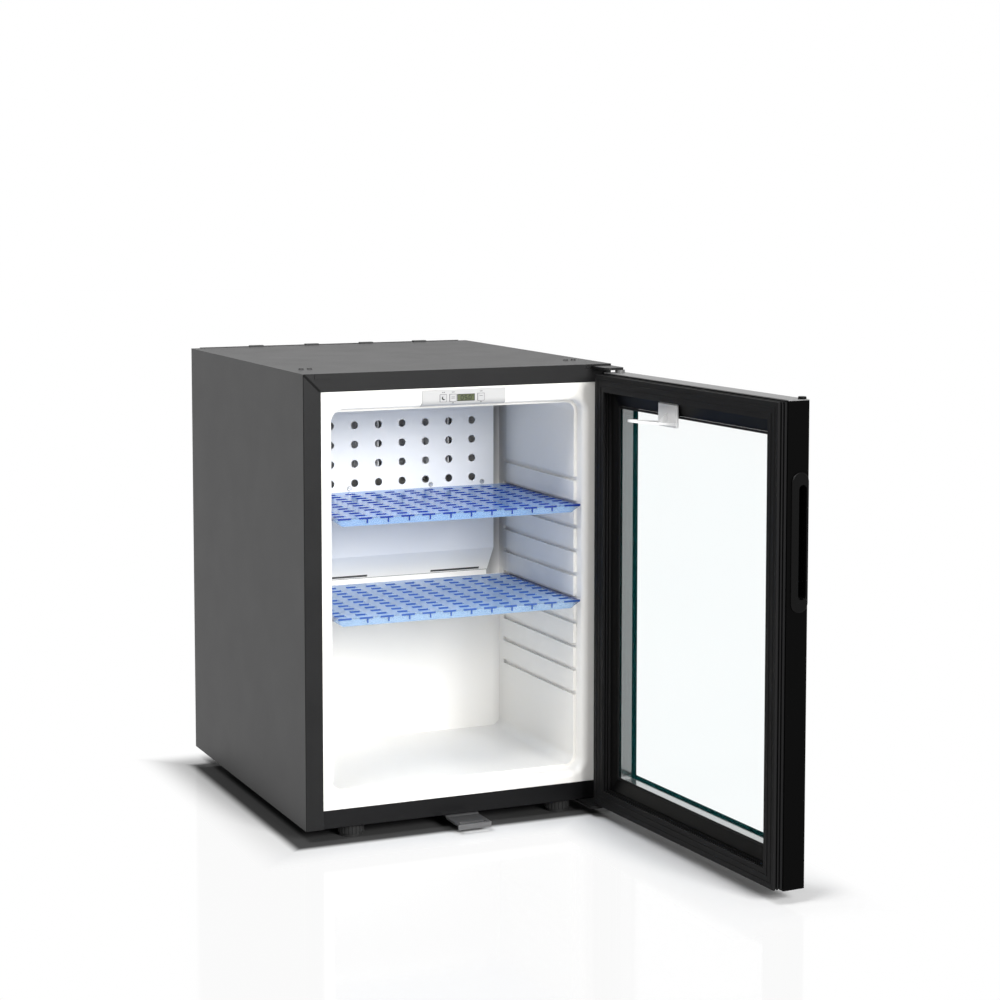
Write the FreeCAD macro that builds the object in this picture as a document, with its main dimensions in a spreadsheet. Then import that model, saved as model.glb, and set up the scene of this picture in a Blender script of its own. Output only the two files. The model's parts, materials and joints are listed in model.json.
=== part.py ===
import FreeCAD, Part
import math
import os

import Sketcher

# A hotel minibar: a foamed steel cabinet with a white liner, two slide-in shelves, a glass door
# on two hinge pins and a silent absorption cooling unit in an open bay at the back.
# X runs to the right, Y to the back, Z up. The origin lies on the floor, in the middle between
# the four feet, which is also the middle of the cabinet's footprint.

# Sizes in millimetres and degrees.
SIZES = {
    # cabinet sheets
    "cabinet_width": 402,
    "cabinet_depth": 460,
    "cabinet_height": 545,
    "sheet_thickness": 0.8,
    "sheet_bend_radius": 1.2,
    "front_flange_width": 22,
    "rear_flange_width": 12,
    "rail_height": 22.5,
    "rail_return": 45,
    "pan_thickness": 1.2,
    "tab_width": 19,
    "tab_depth": 7,
    "tab_height": 2,
    "tab_pitch": 79.6,
    "tab_offset": 9,
    "ridge_height": 0.9,
    "ridge_depth": 1.6,
    "bay_depth": 165,
    "foam_back": 45,
    # feet
    "foot_height": 15,
    "foot_wheel_radius": 15.5,
    "foot_pad_radius": 14,
    "foot_pad_height": 4,
    "foot_stud_radius": 4,
    "foot_stud_length": 12,
    "foot_side_inset": 64,
    "foot_end_inset": 20,
    "foot_rib_radius": 1.1,
    "foot_rib_count": 20,
    "foot_insert_radius": 8,
    "foot_insert_height": 11,
    "thread_clearance": 0.05,
    # liner
    "liner_wall": 2,
    "liner_lap": 5,
    "mouth_side": 37,
    "mouth_floor": 37,
    "mouth_head": 44,
    "mouth_depth": 21,
    "mouth_radius": 8,
    "mouth_step": 4,
    "cavity_corner_radius": 11,
    "runner_count": 10,
    "runner_first_height": 131,
    "runner_head": 144,
    "runner_gap": 5.5,
    "runner_end_gap": 14,
    # shelves
    "shelf_side_reach": 2.8,
    "shelf_back_gap": 2,
    "shelf_thickness": 3,
    "shelf_setback": 6,
    "shelf_lip_drop": 10,
    "shelf_lip_thickness": 2.4,
    "shelf_lip_inset": 6.8,
    "shelf_rib_width": 2,
    "shelf_rib_depth": 5,
    "shelf_slot_width": 15,
    "shelf_slot_depth": 7,
    "shelf_slot_border": 20.3,
    "shelf_last_row": 24,
    "shelf_first_row": 16,
    "shelf_columns": 11,
    "shelf_rows": 5,
    "runners_below_upper_count": 8,
    "runners_below_lower_count": 4,
    "runner_clearance": 0.05,
    # cold baffle and evaporator
    "baffle_thickness": 1,
    "baffle_wall_gap": 22,
    "baffle_left_gap": 10,
    "baffle_right_gap": 18,
    "baffle_top_drop": 54,
    "baffle_bend_drop": 259,
    "baffle_foot_drop": 291,
    "baffle_hole_radius": 5,
    "baffle_hole_border": 31.2,
    "baffle_row_pitch": 25,
    "baffle_columns": 8,
    "baffle_rows": 4,
    "baffle_last_row_drop": 88,
    "baffle_screw_drop": 170,
    "inner_screw_inset": 89.5,
    "outer_screw_inset": 16.5,
    "standoff_radius": 4.5,
    "screw_shank_radius": 1.6,
    "screw_head_radius": 3.4,
    "screw_head_height": 1.8,
    "screw_length": 9,
    "drip_slot_width": 70,
    "drip_slot_spread": 159,
    "drip_slot_shift": 19.5,
    "drip_slot_height": 3,
    "drip_slot_gap": 1.2,
    "evaporator_side_gap": 33,
    "evaporator_height": 96,
    "evaporator_drop": 61,
    "evaporator_plate": 3,
    "evaporator_fin": 1.2,
    "evaporator_fin_depth": 12,
    "evaporator_fin_count": 17,
    "evaporator_tube_radius": 7,
    "evaporator_tube_spread": 60,
    "evaporator_tube_inset": 90,
    "tube_hole_clearance": 0.4,
    # control housing
    "housing_left_edge": -51,
    "housing_right_edge": 58,
    "housing_height": 19.4,
    "housing_depth": 20,
    "housing_proud": 0.4,
    "housing_wall": 3,
    "housing_floor": 5,
    "housing_clearance": 0.2,
    "housing_edge_radius": 7.4,
    "button_width": 8,
    "button_height": 8.4,
    "button_proud": 0.5,
    "button_travel": 0.8,
    "button_clearance": 0.15,
    "button_flange_wider": 1.2,
    "button_flange_thickness": 1.6,
    "button_drop": 34.5,
    "night_button_across": -24,
    "lower_button_across": -11.4,
    "raise_button_across": 25.2,
    "window_left_edge": -6,
    "window_width": 23.2,
    "window_height": 8.6,
    "window_inset": 0.2,
    "board_thickness": 1.6,
    "board_setback": 8.4,
    "switch_side": 6,
    "switch_gap": 0.4,
    # hinges
    "hinge_inset": 5,
    "hinge_plate_side_gap": 1,
    "top_plate_width": 26,
    "bottom_plate_width": 42,
    "hinge_plate_thickness": 3,
    "hinge_plate_reach": 38,
    "hinge_plate_corner": 8,
    "top_hinge_drop": 2,
    "hinge_tang_width": 20,
    "hinge_tang_edge": 14.5,
    "hinge_tang_depth": 76,
    "top_screw_back": 66,
    "hinge_slot_clearance": 0.3,
    "hinge_pin_radius": 2.5,
    "hinge_pin_depth": 13,
    "hinge_bore_extra": 2,
    "hinge_pin_clearance": 0.05,
    "hinge_washer_radius": 6,
    "plug_height": 6,
    "plug_thickness": 1,
    "plug_border": 1.2,
    "plug_tongue_depth": 5,
    "bolt_shank_radius": 2,
    "bolt_head_radius": 3.5,
    "bolt_head_height": 2,
    # door
    "door_open_angle": 93,
    "door_gap": 1,
    "door_foot_gap": 1,
    "door_head_gap": 3,
    "slab_thickness": 28,
    "slab_edge_radius": 2,
    "gasket_thickness": 12,
    "gasket_width": 20,
    "gasket_inset": 2,
    "gasket_base": 3,
    "gasket_neck": 2.5,
    "gasket_neck_inset": 2.5,
    "hinge_forward": 7,
    "window_border": 34.5,
    "window_foot_border": 38,
    "trim_step": 4.2,
    "trim_land": 1.5,
    "pane_thickness": 4,
    "glass_gap": 14.5,
    "glass_edge_cover": 8,
    "glass_clearance": 0.5,
    "spacer_width": 7.5,
    "front_lip_cover": 3,
    "strip_thickness": 1,
    "strip_inset": 0.8,
    "cap_radius": 4.6,
    "cap_height": 3,
    "cap_edge_radius": 1,
    "cap_stem": 8,
    # handle cup
    "handle_width": 22,
    "handle_length": 153,
    "handle_centre_drop": 162.5,
    "handle_setback": 1,
    "handle_proud": 1.6,
    "handle_edge_radius": 1.1,
    "handle_border": 2,
    "handle_depth": 16,
    "handle_wall": 1.5,
    "recess_width": 10,
    "recess_length": 125,
    "recess_setback": 4,
    "oval_share": 0.49,
    # finger on the inner trim
    "finger_left_edge": 24,
    "finger_width": 42,
    "finger_plate_drop": 24,
    "finger_plate_height": 28,
    "finger_plate_thickness": 4,
    "finger_plate_standoff": 3,
    "finger_reach": 52,
    "finger_thickness": 3,
    "finger_rise": 6,
    "finger_side_inset": 3,
    "finger_tip_width": 9,
    "gusset_size": 9,
    "gusset_thickness": 2.4,
    # lock
    "lock_height": 16,
    "lock_setback": 8,
    "lock_sleeve_radius": 9.5,
    "lock_flange_radius": 11,
    "lock_flange_thickness": 1.5,
    "lock_sleeve_length": 6,
    "lock_core_radius": 6,
    "lock_core_clearance": 0.05,
    "lock_hub_radius": 3,
    "lock_rivet_radius": 4.2,
    "lock_rivet_height": 1.5,
    "keyway_width": 1.6,
    "keyway_length": 7,
    "keyway_depth": 3,
    "cam_length": 22.5,
    "cam_width": 10,
    "cam_thickness": 2.5,
    "cam_clearance": 0.6,
    # keeper
    "keeper_width": 43,
    "keeper_thickness": 2.5,
    "keeper_drop": 2,
    "keeper_reach": 40,
    "keeper_back": 38,
    "keeper_joggle": 2,
    "keeper_lip": 4,
    "keeper_slot_width": 33,
    "keeper_slot_depth": 7,
    "keeper_screw_spread": 28,
    "keeper_screw_back": 24,
    # cooling unit
    "boiler_radius": 34,
    "boiler_height": 270,
    "boiler_foot_height": 44,
    "boiler_rounding": 7,
    "boiler_side_gap": 31.2,
    "unit_setback": 66,
    "vessel_radius": 31,
    "vessel_rounding": 12,
    "vessel_boiler_gap": 19,
    "vessel_box_gap": 17.2,
    "vessel_centre_height": 74,
    "coil_tube_radius": 8,
    "coil_bend_radius": 20,
    "coil_passes": 5,
    "coil_inset": 22,
    "coil_width": 170,
    "coil_first_height": 135,
    "condenser_exit": 22,
    "fin_width": 38,
    "fin_height": 44,
    "fin_thickness": 0.8,
    "fin_end_gap": 31,
    "fin_count": 13,
    "liquid_tube_radius": 5,
    "liquid_bend_radius": 16,
    "arm_width": 18,
    "arm_thickness": 2,
    "arm_overhang": 10,
    "saddle_thickness": 3,
    "saddle_width": 44,
    "saddle_inset": 30,
    "box_width": 52,
    "box_depth": 74,
    "box_height": 92,
    "box_edge_radius": 3,
    "box_side_gap": 8,
    "box_setback": 30,
    "gland_radius": 8,
    "gland_tip_radius": 5.5,
    "gland_length": 20,
    "gland_nut_length": 7,
    # one overrun for every cut that has to pass right through
    "overrun": 5,
}

doc = FreeCAD.newDocument("minibar_fridge")
sheet = doc.addObject("Spreadsheet::Sheet", "Sizes")
for row, (alias, number) in enumerate(SIZES.items(), start=1):
    sheet.set(f"A{row}", str(number))
    sheet.setAlias(f"A{row}", alias)
doc.recompute()


class Size:
    """A value worked out from the sheet, kept as an expression and as a number."""

    def __init__(self, text, number):
        self.text = text
        self.number = number

    def join(self, sign, other, number):
        return Size(f"({self.text} {sign} {other.text})", number)

    def __add__(self, other):
        other = as_size(other)
        return self.join("+", other, self.number + other.number)

    def __sub__(self, other):
        other = as_size(other)
        return self.join("-", other, self.number - other.number)

    def __mul__(self, other):
        other = as_size(other)
        return self.join("*", other, self.number * other.number)

    def __truediv__(self, other):
        other = as_size(other)
        return self.join("/", other, self.number / other.number)

    def __neg__(self):
        return Size(f"(0 - {self.text})", -self.number)

    def __rmul__(self, other):
        return as_size(other) * self

    def __lt__(self, other):
        return self.number < other.number


def as_size(value):
    """A plain count or sign joins a sum as it is."""
    if isinstance(value, Size):
        return value
    return Size(f"({value})", value)


def sine(angle):
    return Size(f"sin({angle.text} * 1deg)", math.sin(math.radians(angle.number)))


def cosine(angle):
    return Size(f"cos({angle.text} * 1deg)", math.cos(math.radians(angle.number)))


def root(value):
    return Size(f"sqrt({value.text})", math.sqrt(value.number))


class Sheet:
    """Reads every alias of the sheet as a Size."""

    def __getattr__(self, alias):
        return Size("Sizes." + alias, float(sheet.get(alias)))


s = Sheet()
nil = Size("0", 0)


def bind(item, path, value):
    """Ties one property of an object to the sheet."""
    item.setExpression(path, value.text)


def move(item, x, y, z):
    for letter, value in zip("xyz", (x, y, z)):
        bind(item, "Placement.Base." + letter, value)


def box(name, x, y, z):
    """A block between two places on each axis."""
    solid = doc.addObject("Part::Box", name)
    spans = [sorted(pair) for pair in (x, y, z)]
    for side, (low, high) in zip(("Length", "Width", "Height"), spans):
        bind(solid, side, high - low)
    move(solid, *(low for low, high in spans))
    return solid


AXES = {
    "x": FreeCAD.Rotation(FreeCAD.Vector(0, 1, 0), 90),
    "y": FreeCAD.Rotation(FreeCAD.Vector(1, 0, 0), -90),
    "z": FreeCAD.Rotation(),
}


def rod(name, radius, axis, start, length):
    """A cylinder from its start along an axis."""
    solid = doc.addObject("Part::Cylinder", name)
    solid.Placement.Rotation = AXES[axis]
    bind(solid, "Radius", radius)
    bind(solid, "Height", length)
    move(solid, *start)
    return solid


def fuse(name, *solids):
    result = doc.addObject("Part::MultiFuse", name)
    result.Shapes = list(solids)
    result.Refine = True
    return result


def cut(name, base, *tools):
    result = doc.addObject("Part::Cut", name)
    result.Base = base
    result.Tool = tools[0] if len(tools) == 1 else fuse(name + "_cutters", *tools)
    result.Refine = True
    return result


def group(name, *solids):
    """Alike pieces that stand apart and share one node."""
    result = doc.addObject("Part::Compound", name)
    result.Links = list(solids)
    return result


def sleeve(name, outer, bore, axis, start, length):
    return cut(name, rod(name + "_outside", outer, axis, start, length),
               rod(name + "_bore", bore, axis, start, length))


def ring(name, x, y, z, inner_x, inner_z):
    """A rectangular frame in the XZ plane."""
    through = (y[0] - s.overrun, y[1] + s.overrun)
    return cut(name, box(name + "_outside", x, y, z),
               box(name + "_opening", inner_x, through, inner_z))


def new_body(name):
    return doc.addObject("PartDesign::Body", name)


def new_sketch(body, plane, name, away=nil, across=nil, up=nil):
    """A sketch on one of the body's own planes, moved away from it along its normal."""
    sketch = body.newObject("Sketcher::SketchObject", name)
    support = [item for item in body.Origin.OriginFeatures if item.Role == plane + "_Plane"]
    sketch.AttachmentSupport = [(support[0], "")]
    sketch.MapMode = "FlatFace"
    for letter, value in zip("xyz", (across, up, away)):
        bind(sketch, "AttachmentOffset.Base." + letter, value)
    return sketch


def tie(sketch, kind, *where, value):
    index = sketch.addConstraint(Sketcher.Constraint(kind, *where, value.number))
    sketch.setExpression(f"Constraints[{index}]", value.text)


def outline(sketch, points):
    """A closed outline of straight lines, each corner tied to the sheet."""
    spots = [FreeCAD.Vector(across.number, up.number, 0) for across, up in points]
    count = len(spots)
    first = sketch.GeometryCount
    for k in range(count):
        sketch.addGeometry(Part.LineSegment(spots[k], spots[(k + 1) % count]), False)
    for k, (across, up) in enumerate(points):
        following = first + (k + 1) % count
        sketch.addConstraint(Sketcher.Constraint("Coincident", first + k, 2, following, 1))
        tie(sketch, "DistanceX", -1, 1, first + k, 1, value=across)
        tie(sketch, "DistanceY", -1, 1, first + k, 1, value=up)


def circle(sketch, across, up, radius):
    middle = FreeCAD.Vector(across.number, up.number, 0)
    index = sketch.addGeometry(Part.Circle(middle, FreeCAD.Vector(0, 0, 1), radius.number), False)
    tie(sketch, "DistanceX", -1, 1, index, 3, value=across)
    tie(sketch, "DistanceY", -1, 1, index, 3, value=up)
    tie(sketch, "Radius", index, value=radius)


def rectangle(across, up):
    return [(across[0], up[0]), (across[1], up[0]), (across[1], up[1]), (across[0], up[1])]


def pad(body, sketch, length, name="pad"):
    feature = body.newObject("PartDesign::Pad", name)
    feature.Profile = sketch
    bind(feature, "Length", length)
    return feature


def pocket(body, sketch, length, name="pocket", reverse=False):
    feature = body.newObject("PartDesign::Pocket", name)
    feature.Profile = sketch
    feature.Reversed = reverse
    bind(feature, "Length", length)
    return feature


def pattern(body, feature, sketch, axis, count, step):
    """Repeats a feature along one axis of its sketch: H, V or N, across the sketch."""
    repeat = body.newObject("PartDesign::LinearPattern", "repeat")
    repeat.Originals = [feature]
    repeat.Direction = (sketch, [axis + "_Axis"])
    bind(repeat, "Occurrences", count)
    bind(repeat, "Length", step * (count - 1))
    body.Tip = repeat


def fillet(body, radius, chosen, name="fillet"):
    """Rounds the edges of the body's last feature that a test picks."""
    doc.recompute()
    tip = body.Tip
    names = [f"Edge{k}" for k, edge in enumerate(tip.Shape.Edges, start=1) if chosen(edge)]
    feature = body.newObject("PartDesign::Fillet", name)
    feature.Base = (tip, names)
    bind(feature, "Radius", radius)
    return feature


NEAR = 0.001 * s.cabinet_width.number


def ends(edge):
    """Both ends of an edge."""
    return [vertex.Point for vertex in (edge.Vertexes[0], edge.Vertexes[-1])]


def runs_along(edge, letter):
    """Whether a straight edge runs along one axis."""
    start, end = ends(edge)
    others = [axis for axis in "xyz" if axis != letter]
    straight = isinstance(edge.Curve, Part.Line)
    return straight and all(abs(getattr(end, axis) - getattr(start, axis)) < NEAR for axis in others)


def lies_at(edge, **places):
    """Whether both ends of an edge lie at the given places."""
    return all(abs(getattr(end, axis) - value.number) < NEAR
               for axis, value in places.items() for end in ends(edge))


NORMALS = {"XY": 1, "XZ": -1, "YZ": 1}


def plate(name, plane, points, low, high):
    """A body padded from an outline, from low to high along the axis across its plane."""
    body = new_body(name)
    away = low if NORMALS[plane] > 0 else -high
    sketch = new_sketch(body, plane, name + "_outline", away)
    outline(sketch, points)
    pad(body, sketch, high - low)
    return body


def turned(name, axis, centre, profile):
    """A body turned about a line along an axis; its profile holds (radius, place along) pairs."""
    x, y, z = centre
    body = new_body(name)
    if axis == "z":
        sketch = new_sketch(body, "XZ", name + "_profile", -y, x, z)
    else:
        sketch = new_sketch(body, "XY", name + "_profile", z, x, y)
    if axis == "x":
        profile = [(along, radius) for radius, along in profile]
    outline(sketch, profile)
    feature = body.newObject("PartDesign::Revolution", "turn")
    feature.Profile = sketch
    feature.ReferenceAxis = (sketch, ["H_Axis" if axis == "x" else "V_Axis"])
    return body


def pipe(name, points, radius, bend):
    """A tube along straight runs joined by tangent arcs."""
    spots = [FreeCAD.Vector(*(value.number for value in point)) for point in points]
    edges = []
    start = spots[0]
    for before, corner, after in zip(spots, spots[1:], spots[2:]):
        inward = (before - corner).normalize()
        outward = (after - corner).normalize()
        half = inward.getAngle(outward) / 2
        leg = bend.number / math.tan(half)
        centre = corner + (inward + outward).normalize() * (bend.number / math.sin(half))
        middle = centre + (corner - centre).normalize() * bend.number
        first, last = corner + inward * leg, corner + outward * leg
        edges.append(Part.makeLine(start, first))
        edges.append(Part.Arc(first, middle, last).toShape())
        start = last
    edges.append(Part.makeLine(start, spots[-1]))
    path = Part.Wire(edges)
    section = Part.Wire(Part.makeCircle(radius.number, spots[0], spots[1] - spots[0]))
    tube = doc.addObject("Part::Feature", name)
    tube.Shape = path.makePipeShell([section], True, False)
    expected = math.pi * radius.number ** 2 * path.Length
    print(name, "length", round(path.Length, 1), "volume share", round(tube.Shape.Volume / expected, 4))
    return tube


NODES = []


def piece(item):
    """Counts an object as a finished sub-part, named by its label."""
    NODES.append(item)
    return item


# Places that several pieces share.
left, right = -s.cabinet_width / 2, s.cabinet_width / 2
front, rear = -s.cabinet_depth / 2, s.cabinet_depth / 2
base, roof = s.foot_height, s.foot_height + s.cabinet_height
behind_sheet = front + s.sheet_thickness
under_roof = roof - s.sheet_thickness
inside_left, inside_right = left + s.sheet_thickness, right - s.sheet_thickness
rail_top = base + s.rail_height
pan_foot = base + s.sheet_thickness
pan_top = pan_foot + s.pan_thickness
bay_front = rear - s.bay_depth
cavity_depth = s.cabinet_depth - s.bay_depth - s.foam_back
baffle_setback = cavity_depth - s.baffle_wall_gap
mouth_half = right - s.mouth_side
cavity_half = mouth_half - s.mouth_step

# The door as it lies shut.
gasket_face = front - s.door_gap
door_back = gasket_face - s.gasket_thickness
door_face = door_back - s.slab_thickness
door_foot = base + s.door_foot_gap
hinge_plate_top = roof - s.top_hinge_drop
hinge_plate_foot = hinge_plate_top - s.hinge_plate_thickness
door_top = hinge_plate_foot - s.door_head_gap
hinge_across = right - s.hinge_inset
hinge_along = door_face + s.hinge_forward
glass_front = door_back - s.trim_step
spacer_front = glass_front - s.pane_thickness
spacer_back = spacer_front - s.glass_gap
glass_back = spacer_back - s.pane_thickness

foot_places = [(side * (right - s.foot_side_inset), end * (rear - s.foot_end_inset))
               for end in (-1, 1) for side in (-1, 1)]
keeper_screw_places = [(side * s.keeper_screw_spread / 2, front + s.keeper_screw_back) for side in (-1, 1)]
hinge_bolt_places = [(hinge_across - s.hinge_inset - s.bolt_head_radius * k, front + s.rail_return / 2)
                     for k in (1, 5)]


def through_base(name, radius, places):
    """Holes through the bottom rail and the base pan."""
    height = pan_top - base + 2 * s.overrun
    return [rod(name, radius, "z", (x, y, base - s.overrun), height) for x, y in places]


def base_holes():
    return (through_base("stud_hole", s.foot_stud_radius + s.thread_clearance, foot_places)
            + through_base("keeper_hole", s.bolt_shank_radius + s.thread_clearance, keeper_screw_places)
            + through_base("hinge_hole", s.bolt_shank_radius + s.thread_clearance, hinge_bolt_places))


def side_panel(name, side):
    """A side sheet with a mitred front flange and a rear flange."""
    edge = side * right
    flange = edge - side * s.front_flange_width
    inner = edge - side * s.sheet_thickness
    lip = edge - side * s.rear_flange_width
    body = plate(name + "_sheet", "XY", [
        (edge, front), (flange, front), (flange, behind_sheet), (inner, behind_sheet),
        (inner, rear - s.sheet_thickness), (lip, rear - s.sheet_thickness), (lip, rear), (edge, rear),
    ], base, roof)
    fillet(body, s.sheet_bend_radius, lambda e: runs_along(e, "z") and lies_at(e, x=edge))
    past = side * s.overrun
    mitre = plate(name + "_mitre", "XZ", [
        (edge + past, roof + s.overrun), (flange - past, roof - s.front_flange_width - s.overrun),
        (flange - past, roof + s.overrun),
    ], front - s.overrun, behind_sheet)
    top = box(name + "_top", (edge + past, lip - past), (behind_sheet, rear + s.overrun),
              (under_roof, roof + s.overrun))
    piece(cut(name, body, mitre, top))


side_panel("left_side_panel", -1)
side_panel("right_side_panel", 1)


# Top sheet: its front flange meets the side flanges on the mitres.
flange_foot = roof - s.front_flange_width
tang_right = right - s.hinge_tang_edge
tang_left = tang_right - s.hinge_tang_width
plug_middle = (hinge_plate_top + hinge_plate_foot) / 2
tongue_half = s.plug_height / 2 - s.plug_border
top_screw_places = [(tang_left + s.bolt_head_radius * k, front + s.top_screw_back) for k in (1, 4)]


def top_panel():
    cover = box("top_sheet", (left, right), (behind_sheet, rear), (under_roof, roof))
    flange = plate("top_flange", "XZ", [
        (left, roof), (right, roof), (right - s.front_flange_width, flange_foot),
        (left + s.front_flange_width, flange_foot),
    ], front, behind_sheet)
    lip = s.rear_flange_width
    rear_flange = box("top_rear_flange", (left + lip, right - lip), (rear - s.sheet_thickness, rear),
                      (roof - lip, under_roof))
    tabs = [box("top_tab", (middle - s.tab_width / 2, middle + s.tab_width / 2),
                (rear - s.tab_depth, rear), (under_roof, roof + s.tab_height))
            for middle in (s.tab_offset + k * s.tab_pitch / 2 for k in (-3, -1, 1, 3))]
    ridge = box("top_ridge", (left + lip, right - lip), (rear - s.ridge_depth, rear),
                (under_roof, roof + s.ridge_height))
    gap = s.hinge_slot_clearance
    slot = box("hinge_slot", (tang_left - gap, tang_right + gap),
               (front - s.overrun, behind_sheet + s.overrun),
               (hinge_plate_foot - gap, hinge_plate_top + gap))
    spare = box("spare_slot", (-(tang_left + s.plug_border), -(tang_right - s.plug_border)),
                (front - s.overrun, behind_sheet + s.overrun),
                (plug_middle - tongue_half, plug_middle + tongue_half))
    holes = [rod("top_screw_hole", s.bolt_shank_radius + s.thread_clearance, "z",
                 (side * x, y, under_roof - s.overrun), 2 * s.overrun)
             for x, y in top_screw_places for side in (-1, 1)]
    piece(cut("top_panel", fuse("top_blank", cover, flange, rear_flange, ridge, *tabs), slot, spare, *holes))


top_panel()


def base_sheets():
    """The front rail, which turns back under the cabinet, and the pan that laps over it."""
    half = right - s.front_flange_width
    rail = plate("rail_blank", "YZ", [
        (front, base), (front + s.rail_return, base), (front + s.rail_return, pan_foot),
        (behind_sheet, pan_foot), (behind_sheet, rail_top), (front, rail_top),
    ], -half, half)
    fillet(rail, s.sheet_bend_radius, lambda e: runs_along(e, "x") and lies_at(e, y=front, z=base))
    piece(cut("bottom_rail", rail, *base_holes()))
    pan = box("pan_blank", (inside_left, inside_right), (behind_sheet, rear - s.sheet_thickness),
              (pan_foot, pan_top))
    piece(cut("base_pan", pan, *base_holes()))


base_sheets()


# Tubes that pass from the evaporator to the cooling bay.
evaporator_foot = roof - s.evaporator_drop - s.evaporator_height
evaporator_middle = evaporator_foot + s.evaporator_height / 2
tube_across = cavity_half - s.evaporator_tube_inset
tube_places = [(tube_across, evaporator_middle + side * s.evaporator_tube_spread / 2)
               for side in (-1, 1)]
cavity_back = front + cavity_depth


def tube_holes(name):
    return [rod(name, s.evaporator_tube_radius + s.tube_hole_clearance, "y", (x, cavity_back - s.overrun, z),
                bay_front - cavity_back + 2 * s.overrun) for x, z in tube_places]


bulkhead_front = bay_front - s.sheet_thickness
piece(cut("rear_bulkhead", box("bulkhead_blank", (inside_left, inside_right), (bulkhead_front, bay_front),
                               (pan_top, under_roof)), *tube_holes("bulkhead_hole")))


def foot_inserts():
    """Threaded sockets above the base pan, one for each foot's stud."""
    piece(group("foot_inserts", *(
        sleeve("insert", s.foot_insert_radius, s.foot_stud_radius + s.thread_clearance, "z", (x, y, pan_top),
               s.foot_insert_height) for x, y in foot_places)))


def foot(name, x, y):
    """A ribbed plastic foot with a smooth pad below and a stud above."""
    blank = turned(name + "_blank", "z", (x, y, nil), [
        (nil, nil), (s.foot_pad_radius, nil), (s.foot_pad_radius, s.foot_pad_height),
        (s.foot_wheel_radius, s.foot_pad_height), (s.foot_wheel_radius, base), (s.foot_stud_radius, base),
        (s.foot_stud_radius, base + s.foot_stud_length), (nil, base + s.foot_stud_length),
    ])
    sketch = new_sketch(blank, "XY", name + "_rib", base, x, y)
    circle(sketch, s.foot_wheel_radius, nil, s.foot_rib_radius)
    groove = pocket(blank, sketch, base - s.foot_pad_height, "rib_groove")
    ribs = blank.newObject("PartDesign::PolarPattern", "ribs")
    ribs.Originals = [groove]
    ribs.Axis = (sketch, ["N_Axis"])
    bind(ribs, "Occurrences", s.foot_rib_count)
    blank.Tip = ribs
    return blank


foot_inserts()
front_left, front_right, rear_left, rear_right = foot_places
piece(group("front_left_foot", foot("left_foot", *front_left)))
piece(group("front_right_foot", foot("right_foot", *front_right)))
piece(group("rear_feet", foot("rear_left_foot", *rear_left), foot("rear_right_foot", *rear_right)))


# Liner: an outer shape, which the foam also takes, and the cavity within it.
mouth_foot = base + s.mouth_floor
mouth_top = roof - s.mouth_head
runner_pitch = (s.cabinet_height - s.runner_first_height - s.runner_head) / (s.runner_count - 1)
runner_end = cavity_depth - s.runner_end_gap
cavity_floor = mouth_foot + s.mouth_step
cavity_top = mouth_top - s.mouth_step
step_place = front + s.mouth_depth
lip_width = s.mouth_radius + s.liner_wall


def liner_body(name):
    """Flange, mouth ring and box of the liner, before it is hollowed."""
    body = new_body(name)
    lap = s.front_flange_width - s.liner_lap
    blocks = [
        ("flange", left + lap, rail_top - s.liner_lap, roof - lap, behind_sheet + s.liner_wall),
        ("mouth_ring", -(mouth_half + lip_width), mouth_foot - lip_width, mouth_top + lip_width,
         behind_sheet + lip_width),
        ("mouth_box", -(mouth_half + s.liner_wall), mouth_foot - s.liner_wall, mouth_top + s.liner_wall,
         cavity_back + s.liner_wall),
    ]
    for label, side, low, high, back in blocks:
        sketch = new_sketch(body, "XZ", label + "_outline", -back)
        outline(sketch, rectangle((side, -side), (low, high)))
        pad(body, sketch, back - behind_sheet, label)
    return body


def hollow(body, label, half, low, high, back, length, radius):
    sketch = new_sketch(body, "XZ", label + "_outline", -back)
    outline(sketch, rectangle((-half, half), (low, high)))
    pocket(body, sketch, length, label, reverse=True)
    fillet(body, radius, lambda e: runs_along(e, "y") and abs(ends(e)[0].x) - half.number < NEAR
           and low.number - NEAR < ends(e)[0].z < high.number + NEAR
           and max(end.y for end in ends(e)) < back.number + NEAR, label + "_corners")


def runner_height(k):
    """The underside of a shelf runner groove, counted from the lowest."""
    return base + s.runner_first_height + runner_pitch * k - s.runner_gap / 2


def on_mouth_edge(edge):
    """Whether an edge belongs to the rim of the mouth on the flange's face."""
    inside = all(abs(end.x) < mouth_half.number + NEAR
                 and mouth_foot.number - NEAR < end.z < mouth_top.number + NEAR for end in ends(edge))
    return inside and lies_at(edge, y=behind_sheet)


def inner_liner():
    body = liner_body("liner_shape")
    hollow(body, "cavity", cavity_half, cavity_floor, cavity_top, cavity_back,
           cavity_depth, s.cavity_corner_radius)
    hollow(body, "mouth", mouth_half, mouth_foot, mouth_top, step_place,
           s.mouth_depth, s.cavity_corner_radius + s.mouth_step)
    fillet(body, s.mouth_radius, on_mouth_edge, "mouth_edge")
    for side in (-1, 1):
        sketch = new_sketch(body, "XZ", "runner_outline", -(front + runner_end))
        outline(sketch, rectangle((side * (cavity_half - s.mouth_step), side * mouth_half),
                                  (runner_height(0), runner_height(0) + s.runner_gap)))
        groove = pocket(body, sketch, runner_end - s.mouth_depth / 2, "runner", reverse=True)
        pattern(body, groove, sketch, "V", s.runner_count, runner_pitch)
    return body


def housing_notch(name):
    """The place that the control housing takes in the liner's top flange."""
    gap = s.housing_clearance
    return box(name, (s.housing_left_edge - gap, s.housing_right_edge + gap),
               (front - s.overrun, front + s.housing_depth + gap),
               (cavity_top - s.overrun, mouth_top + s.housing_height + gap))


liner_shape = inner_liner()
piece(cut("inner_liner", liner_shape, housing_notch("liner_notch"), *tube_holes("liner_hole")))


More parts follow.
